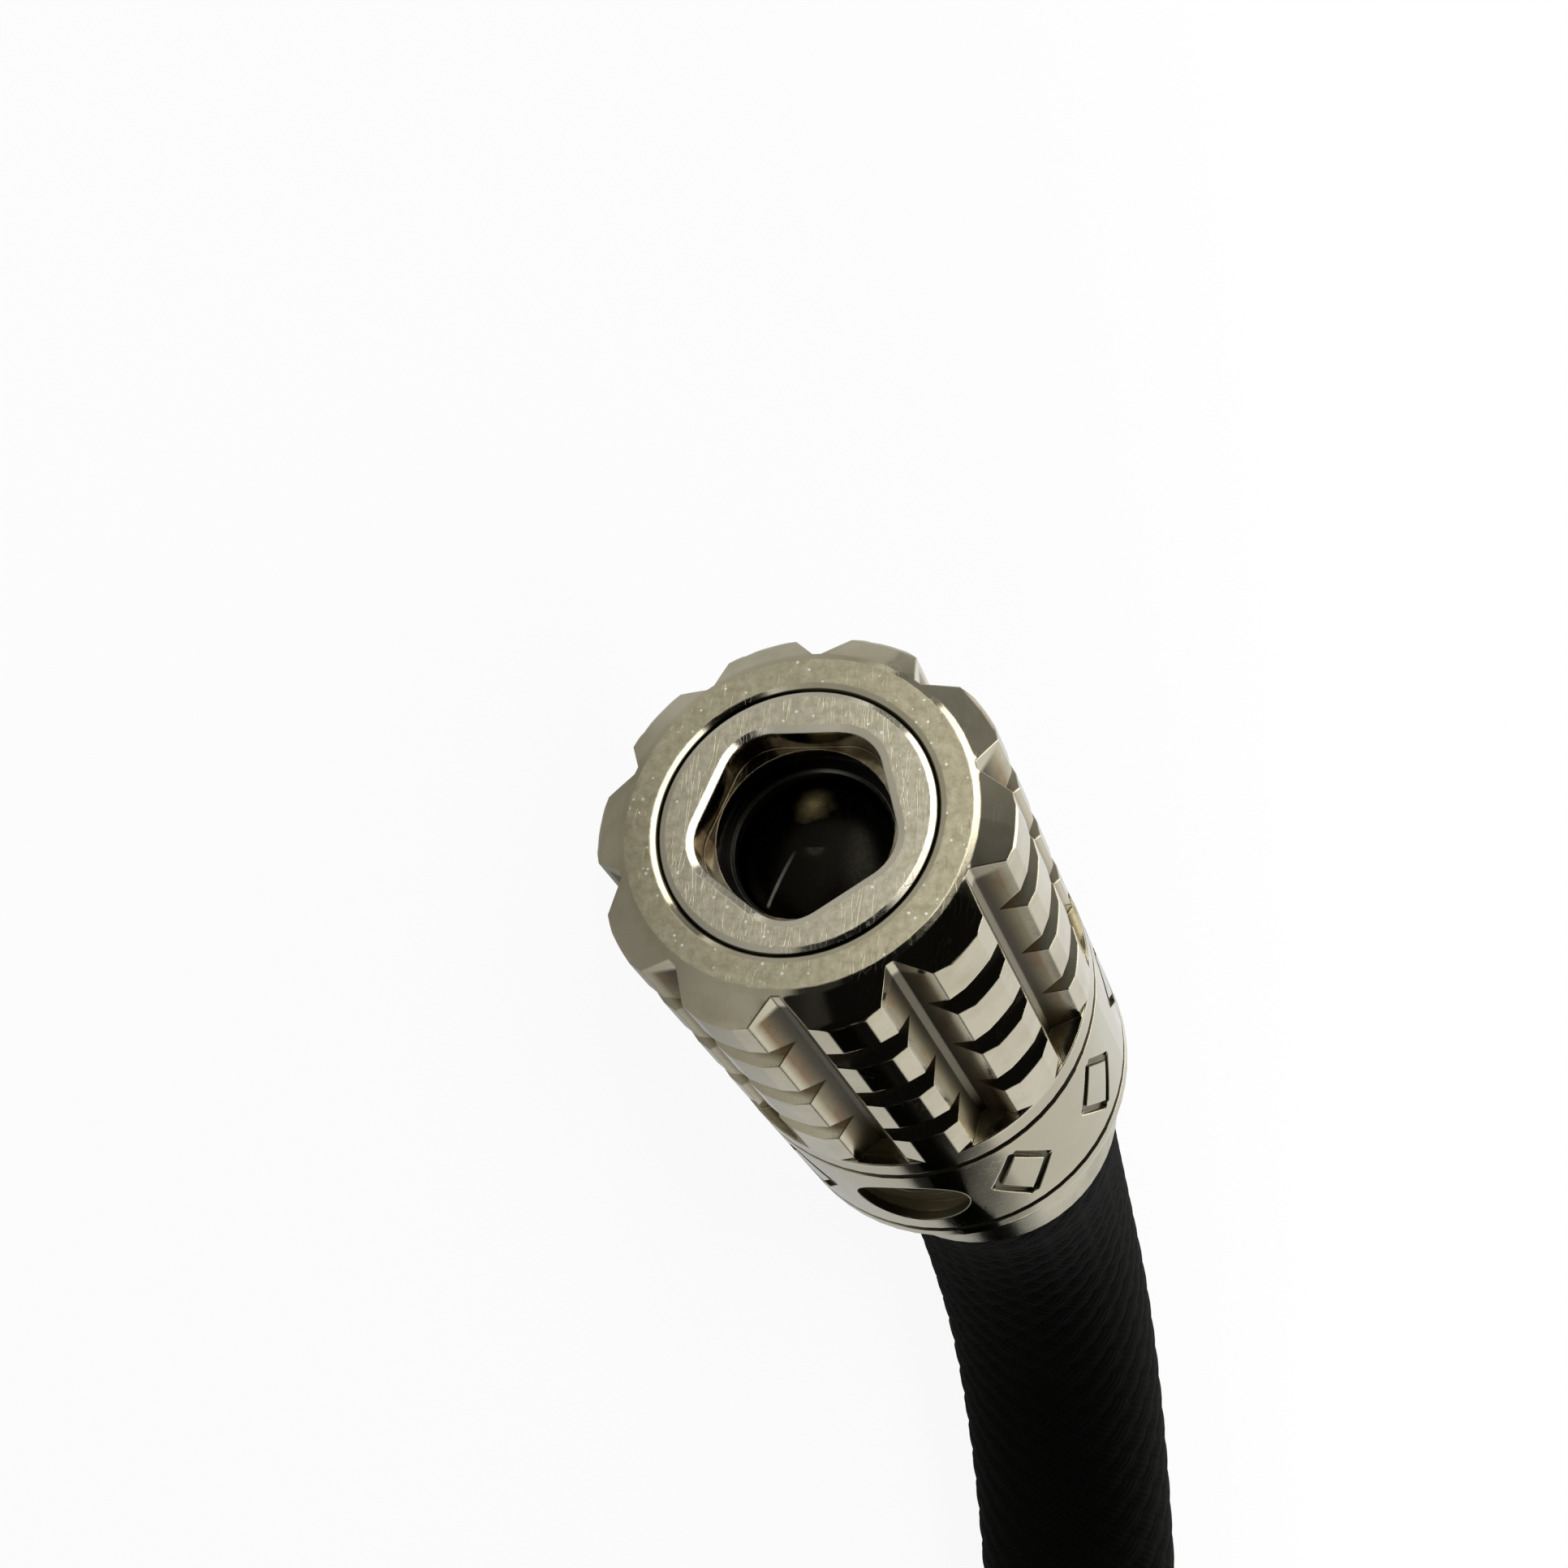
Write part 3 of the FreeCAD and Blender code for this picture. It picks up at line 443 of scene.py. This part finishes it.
def pits(nodes, scale, size):
    """Small round pits, some of them missing, from 0 on the surface to 1 at a pit's bottom."""
    patch = nodes.noise(nodes.place(), 1.6, detail=2.0)
    reach = nodes.math("ADD", nodes.ramp(patch, 0.0, size, 0.42, 0.62), 0.001)
    return nodes.ramp(nodes.math("DIVIDE", nodes.cells(scale).outputs["Distance"], reach), 1.0, 0.0)


def specks(nodes, scale, share):
    """Small bright grains of many sizes, one in each of a share of the cells."""
    cells = nodes.cells(scale)
    pick = nodes.add("SeparateColor")
    nodes.put(pick.inputs[0], cells.outputs["Color"])
    size = nodes.math("MULTIPLY", pick.outputs[1], pick.outputs[1])
    smallest, largest = SPECK_REACH
    reach = nodes.math("ADD", nodes.math("MULTIPLY", size, largest - smallest), smallest)
    near = nodes.ramp(nodes.math("DIVIDE", cells.outputs["Distance"], reach), 1.0, 0.0, 0.5, 1.0)
    return nodes.math("MULTIPLY", near, nodes.math("LESS_THAN", pick.outputs[0], share))


def nickel(name, base, dark, roughness):
    """Worn nickel plate: cloudy tarnish, fine scratches and pits, and rubbed edges."""
    nodes = material_nodes(name)
    cloud = nodes.noise(nodes.place(), 0.9, detail=5.0, roughness=0.6)
    tint = nodes.mix(nodes.ramp(cloud, 0.0, 1.0, 0.40, 0.66), base, dark)
    return worn_surface(nodes, tint, roughness, 0.05, 0.62)


def worn_surface(nodes, tint, roughness, bevel, bare, relief=0.35, metal=1.0):
    """Metal with grain, scratches, pits and softened edges. Where metal is low, dirt cakes it."""
    grain = nodes.noise(nodes.place(), 9.0, detail=4.0, roughness=0.65)
    marks = all_scratches(nodes, bare)
    holes = pits(nodes, 5.0, 0.28)
    uneven = nodes.math("MULTIPLY", nodes.math("SUBTRACT", grain, 0.5), 0.10)
    rough = nodes.math("ADD", roughness, uneven)
    rough = nodes.math("ADD", rough, nodes.math("MULTIPLY", marks, 0.16), clamp=True)
    edge = nodes.add("Bevel", samples=6)
    edge.inputs["Radius"].default_value = bevel * MM
    height = nodes.math("SUBTRACT", nodes.math("MULTIPLY", grain, 0.4), nodes.math("MULTIPLY", marks, 0.6))
    height = nodes.math("SUBTRACT", height, nodes.math("MULTIPLY", holes, 0.8))
    normal = nodes.bump(height, relief, 0.006, edge.outputs[0])
    return nodes.surface(
        base_color=tint, metallic=metal, roughness=rough, normal=normal, specular_ior_level=0.1,
    )


def around_axis(nodes):
    """Distance from the coupling's axis and place along it, in millimetres."""
    split = nodes.add("SeparateXYZ")
    nodes.put(split.inputs[0], nodes.place())
    x, y, z = split.outputs
    squares = nodes.math("ADD", nodes.math("MULTIPLY", x, x), nodes.math("MULTIPLY", z, z))
    return nodes.math("SQRT", squares), y


def front_face(nodes, y):
    """1 on the front face, 0 behind it."""
    return nodes.ramp(y, 1.0, 0.0, *FACE_EDGE)


def frosted_plate(nodes, frost_scale, light, dark, speck_scale, speck_share):
    """Mottled tint of a front face, with bright specks."""
    frost = nodes.noise(nodes.place(), frost_scale, detail=4.0, roughness=0.7)
    mottled = nodes.mix(nodes.ramp(frost, 0.0, 1.0, *FROST_SPAN), light, dark)
    return nodes.mix(specks(nodes, speck_scale, speck_share), mottled, SPECK_COLOUR)


def valley_tint(nodes, radius, y):
    """Tint of the valleys and grooves, darker towards their bottoms, where it lies, and where dirt cakes it.
    """
    stain = nodes.noise(nodes.place((1.0, 0.5, 1.0)), 1.5, detail=4.0, roughness=0.6)
    stained = nodes.ramp(stain, 0.0, 1.0, 0.42, 0.60)
    dull = nodes.mix(stained, colour(0.22, 0.187, 0.10), colour(0.19, 0.12, 0.05))
    # Darker towards the valleys' bottoms, with a slightly lighter line along their floor
    low = nodes.ramp(radius, 1.0, 0.0, FACE_R + 0.08, FACE_R + 0.28)
    floor = nodes.ramp(radius, 1.0, 0.0, FACE_R + 0.004, FACE_R + 0.012)
    dull = nodes.mix(low, dull, colour(0.10, 0.082, 0.040))
    dull = nodes.mix(floor, dull, colour(0.12, 0.105, 0.062))
    deep = nodes.ramp(radius, 1.0, 0.0, FACE_R + 0.30, GRIP_R - 0.12)
    sunken = nodes.math("MULTIPLY", deep, nodes.ramp(y, 0.0, 1.0, CHAMFER_END, CHAMFER_END + 0.15))
    caked = nodes.math("MULTIPLY", low, nodes.math("SUBTRACT", sunken, floor, clamp=True))
    return dull, sunken, caked


def band_hollows(nodes, radius, y):
    """Where the rear band's engraved lines are, and where its screw recess is."""
    start, end = BAND
    in_band = nodes.math(
        "MULTIPLY",
        nodes.ramp(y, 0.0, 1.0, start - 0.05, start),
        nodes.ramp(y, 1.0, 0.0, end, end + 0.05),
    )
    line_floor = GRIP_R - BAND_MARK_DEPTH
    sunk = nodes.math(
        "MULTIPLY",
        nodes.ramp(radius, 1.0, 0.0, GRIP_R - 0.030, GRIP_R - 0.008),
        nodes.ramp(radius, 0.0, 1.0, line_floor - 0.02, line_floor),
    )
    engraved = nodes.math("MULTIPLY", in_band, sunk)
    recess = nodes.math("MULTIPLY", in_band, nodes.ramp(radius, 1.0, 0.0, line_floor - 0.06, line_floor))
    return engraved, recess


def coupling_nickel():
    """The grip's plate: olive and frosted on the front face, brown in the valleys, dark in the lines."""
    nodes = material_nodes("coupling_nickel")
    radius, y = around_axis(nodes)
    cloud = nodes.noise(nodes.place(), 0.9, detail=5.0, roughness=0.6)
    clouded = nodes.ramp(cloud, 0.0, 1.0, 0.42, 0.68)
    plate = nodes.mix(clouded, colour(0.49, 0.45, 0.33), colour(0.41, 0.37, 0.255))
    dull, sunken, caked = valley_tint(nodes, radius, y)
    plate = nodes.mix(sunken, plate, dull)
    rear = nodes.math("MULTIPLY", nodes.ramp(y, 0.0, 1.0, BAND[0] - 0.5, BAND[0] - 0.4), 0.8)
    plate = nodes.mix(rear, plate, colour(0.34, 0.31, 0.205))
    on_face = front_face(nodes, y)
    olive = frosted_plate(nodes, 5.0, colour(0.60, 0.55, 0.385), colour(0.42, 0.38, 0.25), 12.0, 0.22)
    plate = nodes.mix(on_face, plate, olive)
    engraved, recess = band_hollows(nodes, radius, y)
    plate = nodes.mix(nodes.math("MULTIPLY", engraved, 0.85), plate, colour(0.08, 0.070, 0.038))
    plate = nodes.mix(recess, plate, colour(0.19, 0.160, 0.085))
    plate = nodes.mix(seam(nodes, radius), plate, SEAM_COLOUR)
    rough = nodes.ramp(on_face, 0.09, 0.29)
    rough = nodes.math("ADD", rough, nodes.math("MULTIPLY", engraved, 0.4))
    rough = nodes.math("ADD", rough, nodes.math("MULTIPLY", nodes.math("MAXIMUM", sunken, recess), 0.27))
    caked = nodes.math("MAXIMUM", caked, recess)
    metal = nodes.math("SUBTRACT", 1.0, nodes.math("MULTIPLY", caked, 0.7))
    return worn_surface(nodes, plate, rough, 0.05, 0.62, nodes.ramp(on_face, 0.14, 0.80), metal)


def seam(nodes, radius):
    """Dirt in the joint between the collar and the mouth ring."""
    off = nodes.math("ABSOLUTE", nodes.math("SUBTRACT", radius, SEAM_R))
    return nodes.ramp(off, 1.0, 0.0, SEAM_HALF - 0.01, SEAM_HALF + 0.01)


def mouth_nickel():
    """The mouth ring's plate: frosted and scratched in front, brown with stains and painted shade within the
    mouth, and black painted shade in the bore.
    """
    nodes = material_nodes("mouth_nickel")
    radius, y = around_axis(nodes)
    front = frosted_plate(nodes, 6.0, colour(0.68, 0.63, 0.48), colour(0.48, 0.44, 0.31), 11.0, 0.16)
    on_face = front_face(nodes, y)
    front = nodes.mix(on_face, colour(0.60, 0.56, 0.44), front)
    cloud = nodes.noise(nodes.place(), 1.2, detail=5.0, roughness=0.6)
    stained = nodes.ramp(cloud, 0.0, 1.0, 0.44, 0.60)
    # Stains and painted shade on the walls within the mouth
    stain_and_shade_within = nodes.mix(stained, colour(0.27, 0.235, 0.16), colour(0.13, 0.10, 0.06))
    near_mouth = nodes.ramp(radius, 1.0, 0.0, MOUTH_R, MOUTH_R + 0.2)
    within = nodes.math("MULTIPLY", near_mouth, nodes.ramp(y, 0.0, 1.0, 0.08, 0.16))
    tint = nodes.mix(within, front, stain_and_shade_within)
    # Painted shade: the bore behind the ledge is near black
    bore_shade = nodes.ramp(y, 0.0, 1.0, LEDGE + 0.01, LEDGE + 0.06)
    tint = nodes.mix(bore_shade, tint, colour(0.026, 0.023, 0.017))
    tint = nodes.mix(seam(nodes, radius), tint, SEAM_COLOUR)
    rough = nodes.ramp(on_face, 0.12, 0.30)
    return worn_surface(nodes, tint, rough, 0.04, 0.50, nodes.ramp(on_face, 0.12, 0.65))


def snap_steel():
    """Spring steel of the ring in the bore, painted near black as the bore's shade, and bright only along
    its inner edge, a painted highlight.
    """
    nodes = material_nodes("snap_steel")
    radius = around_axis(nodes)[0]
    inner, outer = SNAP_RING_EDGE
    # Painted highlight along the inner edge; the rest of the ring is painted shade of the bore
    brightened = nodes.ramp(radius, 1.0, 0.0, inner, outer)
    tint = nodes.mix(brightened, colour(0.012, 0.011, 0.010), colour(0.20, 0.19, 0.16))
    return nodes.surface(base_color=tint, metallic=1.0, roughness=0.28)


def stroke(nodes, place, start, end, half_width):
    """Thin straight mark between two places, which fades in from its start, seen along the axis."""
    run = Vector(end) - Vector(start)
    side = run.cross(Vector((0, 1, 0))).normalized()
    offset = nodes.add("VectorMath", operation="SUBTRACT")
    nodes.put(offset.inputs[0], place)
    offset.inputs[1].default_value = start
    shares = []
    for direction in (run / run.length_squared, side):
        share = nodes.add("VectorMath", operation="DOT_PRODUCT")
        nodes.put(share.inputs[0], offset.outputs[0])
        share.inputs[1].default_value = direction
        shares.append(share.outputs["Value"])
    along, across = shares
    line = nodes.ramp(nodes.math("ABSOLUTE", across), 1.0, 0.0, 0.3 * half_width, half_width)
    begun = nodes.ramp(along, 0.0, 1.0, 0.0, 0.9)
    ended = nodes.ramp(along, 1.0, 0.0, 1.0, 1.06)
    return nodes.math("MULTIPLY", line, nodes.math("MULTIPLY", begun, ended))


def tip_brass():
    """Brass painted nearly black as the shade of the bore, with a painted glint in a spot on the dome and
    one painted light streak across it.
    """
    nodes = material_nodes("tip_brass")
    place = nodes.place()
    offset = nodes.add("VectorMath", operation="DISTANCE")
    nodes.put(offset.inputs[0], place)
    offset.inputs[1].default_value = PAINTED_GLINT_SPOT
    ragged = nodes.noise(place, 3.0, detail=4.0)
    uneven = nodes.math("MULTIPLY", nodes.math("SUBTRACT", ragged, 0.5), 0.35)
    reach = nodes.math("ADD", offset.outputs["Value"], uneven)
    # Painted glint: a soft bright brass spot on the dome, made less metallic so it catches lamp light
    painted_glint = nodes.ramp(reach, 1.0, 0.0, 0.02, 0.46)
    # Painted reflection: a thin light streak across the dome
    painted_streak = stroke(nodes, place, STREAK_START, STREAK_END, 0.045)
    # Painted shade: the brass is near black where the bore's shade falls on it
    tint = nodes.mix(painted_glint, colour(0.009, 0.008, 0.006), colour(0.27, 0.215, 0.10))
    tint = nodes.mix(painted_streak, tint, colour(0.34, 0.33, 0.29))
    # The painted glint and the painted streak are less metallic, so that they catch lamp light
    metallic = nodes.math("SUBTRACT", 1.0, nodes.math("MULTIPLY", nodes.math("MAXIMUM", painted_glint, painted_streak), 0.85))
    grain = nodes.noise(place, 14.0, detail=3.0)
    rough = nodes.ramp(grain, 0.24, 0.36, 0.3, 0.7)
    normal = nodes.bump(grain, 0.25, 0.005)
    return nodes.surface(
        base_color=tint, metallic=metallic, roughness=rough, normal=normal, specular_ior_level=0.2,
    )


def plain_metal(name, base, roughness):
    """Metal of a small inner piece, with turning marks and a little tarnish."""
    nodes = material_nodes(name)
    cloud = nodes.noise(nodes.place(), 1.2, detail=4.0)
    grain = nodes.noise(nodes.place(), 14.0, detail=3.0)
    dark = [part * 0.7 for part in base[:3]] + [1.0]
    tint = nodes.mix(nodes.ramp(cloud, 0.0, 1.0, 0.35, 0.7), base, dark)
    rough = nodes.ramp(grain, roughness, roughness + 0.12, 0.3, 0.7)
    normal = nodes.bump(grain, 0.25, 0.005)
    return nodes.surface(base_color=tint, metallic=1.0, roughness=rough, normal=normal)


def woven_black():
    """Black woven cover: separate threads in each bundle, dull with a soft sheen."""
    nodes = material_nodes("woven_black")
    uv = nodes.add("UVMap", uv_map="braid")
    split = nodes.add("SeparateXYZ")
    nodes.put(split.inputs[0], uv.outputs[0])
    right = nodes.math("ADD", split.outputs[0], split.outputs[1])
    left = nodes.math("SUBTRACT", split.outputs[0], split.outputs[1])
    parity = nodes.math(
        "FLOORED_MODULO", nodes.math("ADD", nodes.math("FLOOR", right), nodes.math("FLOOR", left)), 2.0
    )
    across = nodes.math(
        "ADD",
        nodes.math("MULTIPLY", right, nodes.math("SUBTRACT", 1.0, parity)),
        nodes.math("MULTIPLY", left, parity),
    )
    ridges = nodes.math("ABSOLUTE", nodes.math("SINE", nodes.math("MULTIPLY", across, math.pi * 4)))
    fuzz = nodes.noise(nodes.place(), 11.0, detail=4.0, roughness=0.7)
    patches = nodes.noise(nodes.place(), 0.4, detail=3.0)
    shade = nodes.math("ADD", nodes.math("MULTIPLY", ridges, 0.6), nodes.math("MULTIPLY", fuzz, 0.5))
    thread = nodes.ramp(shade, 0.0, 1.0, 0.2, 1.0)
    tint = nodes.mix(thread, colour(0.0015, 0.0015, 0.001), colour(0.005, 0.005, 0.004))
    # Worn patches, a little lighter
    brightened = nodes.mix(nodes.ramp(patches, 0.0, 0.4, 0.45, 0.75), tint, colour(0.008, 0.008, 0.007))
    height = nodes.math("ADD", nodes.math("MULTIPLY", ridges, 0.7), nodes.math("MULTIPLY", fuzz, 0.4))
    normal = nodes.bump(height, 0.5, 0.03)
    return nodes.surface(
        base_color=brightened, roughness=0.9, normal=normal, specular_ior_level=0.07, sheen_weight=0.01,
        sheen_roughness=0.4, sheen_tint=colour(0.6, 0.6, 0.55),
    )


def fibre():
    """Red-brown pressed fibre of the washer."""
    nodes = material_nodes("fibre")
    grain = nodes.noise(nodes.place((1, 1, 6)), 2.0, detail=5.0)
    tint = nodes.mix(grain, colour(0.22, 0.06, 0.04), colour(0.40, 0.14, 0.09))
    return nodes.surface(base_color=tint, roughness=0.7, normal=nodes.bump(grain, 0.3, 0.02))


def dress_nodes():
    """Gives each carried-over piece the material of its slot."""
    finishes = {
        "coupling_nickel": coupling_nickel(),
        "hand_nickel": nickel("hand_nickel", colour(0.62, 0.58, 0.48), colour(0.50, 0.46, 0.36), 0.18),
        "screw_steel": plain_metal("screw_steel", colour(0.46, 0.39, 0.27), 0.28),
        "wire_steel": plain_metal("wire_steel", colour(0.22, 0.21, 0.19), 0.30),
        "tip_brass": tip_brass(),
        "washer_fibre": fibre(),
        "woven_cover": woven_black(),
    }
    for entry in frame["record"]["subparts"]:
        node = frame["nodes"][entry["node"]]
        node.data.materials.clear()
        node.data.materials.append(finishes[entry["material_slot"]])
    ferrule = nickel("ferrule_nickel", colour(0.40, 0.37, 0.27), colour(0.28, 0.25, 0.16), 0.20)
    frame["nodes"]["swivel_ferrule"].data.materials[0] = ferrule
    frame["nodes"]["mouth_ring"].data.materials[0] = mouth_nickel()
    frame["nodes"]["bore_retaining_ring"].data.materials[0] = snap_steel()
    return finishes


def make_cable(finish):
    """Woven cable, in place of its three plain solids."""
    cable, places = braided_cable(cable_line())
    cable.data.materials.append(finish)
    length = float(np.linalg.norm(np.diff(places, axis=0), axis=1).sum())
    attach(cable, "release")
    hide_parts("cable_lead", "cable_coil", "cable_tail")
    print("cable length", round(length, 4))


def spring_mesh(middle, coil_r, wire_r, start, end, turns):
    """Round wire wound along X about a middle line, with its end turns closed up."""
    steps = 40 * turns
    sides = 12
    share = np.arange(steps + 1) / steps
    angle = 2 * math.pi * turns * share
    eased = np.clip((share - CLOSED_SHARE) / (1 - 2 * CLOSED_SHARE), 0, 1)
    low = start + wire_r
    high = end - wire_r
    closed = 2 * wire_r * turns * np.minimum(share, CLOSED_SHARE)
    closed += 2 * wire_r * turns * np.maximum(share - (1 - CLOSED_SHARE), 0)
    x = low + closed + (high - low - 4 * wire_r * turns * CLOSED_SHARE) * eased
    places = np.stack([x, middle[1] + coil_r * np.sin(angle), middle[2] + coil_r * np.cos(angle)], axis=1)
    outward = np.stack([np.zeros_like(angle), np.sin(angle), np.cos(angle)], axis=1)
    along = np.array([1.0, 0.0, 0.0])
    turn = 2 * math.pi * np.arange(sides) / sides
    rings = (
        places[:, None, :]
        + wire_r * np.cos(turn)[None, :, None] * outward[:, None, :]
        + wire_r * np.sin(turn)[None, :, None] * along
    )
    ring = np.arange(sides)
    after = (ring + 1) % sides
    base = (np.arange(steps) * sides)[:, None]
    faces = np.stack([base + ring, base + after, base + sides + after, base + sides + ring], axis=2)
    last = steps * sides
    ends = [list(range(sides))[::-1], list(range(last, last + sides))]
    mesh = bpy.data.meshes.new("spring")
    mesh.from_pydata((rings.reshape(-1, 3) * MM).tolist(), [], faces.reshape(-1, 4).tolist() + ends)
    mesh.polygons.foreach_set("use_smooth", [True] * len(mesh.polygons))
    return mesh


def make_spring(finish):
    """Return spring in the barrel, in place of its plain solid, carried with the release."""
    middle = (HAND_X, HAND_Y, HAND_Z)
    start, end = SPRING_REACH
    mesh = spring_mesh(middle, SPRING_R, SPRING_WIRE_R, HAND_X + start, HAND_X + end, SPRING_TURNS)
    mesh.materials.append(finish)
    spring = bpy.data.objects.new("spring", mesh)
    bpy.context.scene.collection.objects.link(spring)
    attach(spring, "release")
    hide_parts("plunger_spring")
    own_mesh(spring)


def make_camera():
    """Camera at the photograph's place and angle."""
    azimuth = math.radians(CAMERA_AZIMUTH)
    elevation = math.radians(CAMERA_ELEVATION)
    back = Vector((
        math.sin(azimuth) * math.cos(elevation),
        -math.cos(azimuth) * math.cos(elevation),
        math.sin(elevation),
    ))
    data = bpy.data.cameras.new("camera")
    data.lens = CAMERA_LENS
    data.sensor_width = CAMERA_SENSOR
    data.clip_start = 1 * MM
    data.clip_end = 10.0
    camera = bpy.data.objects.new("camera", data)
    camera.location = Vector(CAMERA_PLACE) * MM
    camera.rotation_mode = "QUATERNION"
    camera.rotation_quaternion = Quaternion(back, math.radians(CAMERA_ROLL)) @ back.to_track_quat("Z", "Y")
    bpy.context.scene.collection.objects.link(camera)
    bpy.context.scene.camera = camera


def reflected_ray(nodes, path):
    """1 for a ray that metal or glass sends on, else 0."""
    return nodes.math("MAXIMUM", path.outputs["Is Glossy Ray"], path.outputs["Is Transmission Ray"])


def floor_material():
    """Pale table with a faint shadow, plain white away from the object. Metal sees it as a narrow white
    sheet, with painted light brighter behind the coupling than in front of it, and a painted dark sheet
    towards +X.
    """
    nodes = material_nodes("table")
    place = nodes.add("TexCoord")
    split = nodes.add("SeparateXYZ")
    nodes.put(split.inputs[0], place.outputs["Object"])
    east, north = split.outputs[0], split.outputs[1]
    away = nodes.add("VectorMath", operation="LENGTH")
    nodes.put(away.inputs[0], place.outputs["Object"])
    path = nodes.add("LightPath")
    reflected = reflected_ray(nodes, path)
    white_share = nodes.ramp(away.outputs["Value"], *WHITE_SHARE, *SHADOW_SPAN)
    to_camera = nodes.math("MULTIPLY", path.outputs["Is Camera Ray"], white_share)
    # Painted light that only reflections see: a glow behind the coupling and far in front of it
    lit_back = nodes.ramp(north, 0.0, SHEET_BACK_GLOW, *SHEET_LIT)
    lit_front = nodes.ramp(north, SHEET_FRONT_GLOW, 0.0, *SHEET_FRONT)
    to_metal = nodes.math("MULTIPLY", reflected, nodes.math("MAXIMUM", lit_back, lit_front))
    at_hand_x = nodes.ramp(east, 0.0, 1.0, *HAND_SHEET[0])
    at_hand_y = nodes.ramp(north, 0.0, 1.0, *HAND_SHEET[1])
    elsewhere = nodes.math("SUBTRACT", 1.0, nodes.math("MULTIPLY", at_hand_x, at_hand_y))
    # Painted shade that only reflections see: the table turns black towards +X
    painted_dark_sheet = nodes.math("MULTIPLY", reflected, nodes.ramp(east, 0.0, SHEET_DARKNESS, *SHEET_EDGE))
    painted_dark_sheet = nodes.math("MULTIPLY", painted_dark_sheet, elsewhere)
    white = nodes.add("Emission")
    white.inputs["Strength"].default_value = 1.0
    pale = nodes.add("BsdfDiffuse")
    nodes.put(pale.inputs["Color"], nodes.mix(painted_dark_sheet, TABLE_COLOUR, colour(0.0, 0.0, 0.0)))
    blend = nodes.add("MixShader")
    lit = nodes.math("MULTIPLY", to_metal, nodes.math("SUBTRACT", 1.0, painted_dark_sheet))
    nodes.put(blend.inputs[0], nodes.math("MAXIMUM", to_camera, lit))
    nodes.put(blend.inputs[1], pale.outputs[0])
    nodes.put(blend.inputs[2], white.outputs[0])
    nodes.tree.links.new(blend.outputs[0], nodes.output.inputs[0])
    return nodes.owner


def make_table():
    """Round sheet under the object."""
    step = 2 * math.pi / TABLE_CORNERS
    corners = range(TABLE_CORNERS)
    points = [(TABLE_REACH * math.cos(step * k), TABLE_REACH * math.sin(step * k), 0) for k in corners]
    mesh = bpy.data.meshes.new("table")
    mesh.from_pydata(points, [], [list(corners)])
    table = bpy.data.objects.new("table", mesh)
    table.location = (TABLE_MIDDLE[0] * MM, TABLE_MIDDLE[1] * MM, (TABLE_Z - TABLE_GAP) * MM)
    mesh.materials.append(floor_material())
    bpy.context.scene.collection.objects.link(table)


def backdrop_glow(nodes):
    """What a reflection sees in its direction: a white backdrop behind the table and a dark room in front,
    a little lighter on its left.
    """
    direction = nodes.add("SeparateXYZ")
    nodes.put(direction.inputs[0], nodes.add("TexCoord").outputs["Generated"])
    east, north, up = direction.outputs
    toward_back = nodes.math("SUBTRACT", north, nodes.math("MULTIPLY", east, BACKDROP_TURN))
    behind = nodes.ramp(toward_back, 0.0, 1.0, *BACKDROP_EDGE)
    low = nodes.ramp(up, 1.0, 0.0, *BACKDROP_TOP)
    dark_east = nodes.ramp(east, 0.0, 1.0, *GAP_EAST)
    dark_low = nodes.ramp(up, 1.0, 0.0, *GAP_TOP)
    gap = nodes.math("SUBTRACT", 1.0, nodes.math("MULTIPLY", dark_east, dark_low))
    backdrop = nodes.math("MULTIPLY", nodes.math("MULTIPLY", behind, low), gap)
    above = nodes.ramp(up, 0.0, 1.0, *HORIZON)
    left = nodes.math("MULTIPLY", nodes.ramp(east, LEFT_GLOW, 0.0, *LEFT_SPAN), above)
    return nodes.math("MAXIMUM", nodes.ramp(backdrop, ROOM_GLOW, 1.0), left)


def make_world():
    """White to the camera, a backdrop and a room to reflections, and a soft even light to surfaces."""
    world = bpy.data.worlds.new("studio")
    nodes = Nodes(world, "ShaderNodeOutputWorld")
    path = nodes.add("LightPath")
    reflected = reflected_ray(nodes, path)
    to_metal = nodes.math("MULTIPLY", reflected, backdrop_glow(nodes))
    falling = nodes.math("SUBTRACT", 1.0, nodes.math("MAXIMUM", path.outputs["Is Camera Ray"], reflected))
    strength = nodes.math(
        "ADD",
        nodes.math("ADD", path.outputs["Is Camera Ray"], to_metal),
        nodes.math("MULTIPLY", falling, WORLD_LIGHT),
    )
    background = nodes.add("Background")
    background.inputs["Color"].default_value = colour(1, 1, 1)
    nodes.put(background.inputs["Strength"], strength)
    nodes.tree.links.new(background.outputs[0], nodes.output.inputs[0])
    bpy.context.scene.world = world


def make_lamp(name, place, target, width, height, power):
    """Soft oval lamp that looks at a target."""
    data = bpy.data.lights.new(name, "AREA")
    data.shape = "ELLIPSE"
    data.size = width
    data.size_y = height
    data.energy = power
    lamp = bpy.data.objects.new(name, data)
    lamp.location = place
    toward = Vector(target) - Vector(place)
    lamp.rotation_mode = "QUATERNION"
    lamp.rotation_quaternion = toward.to_track_quat("-Z", "Y")
    bpy.context.scene.collection.objects.link(lamp)


finishes = dress_nodes()
make_cable(finishes["woven_cover"])
make_spring(finishes["wire_steel"])
make_table()
make_world()
make_lamp("key", *KEY_LAMP)
make_lamp("fill", *FILL_LAMP)
make_camera()
bpy.context.scene.view_settings.view_transform = "Standard"
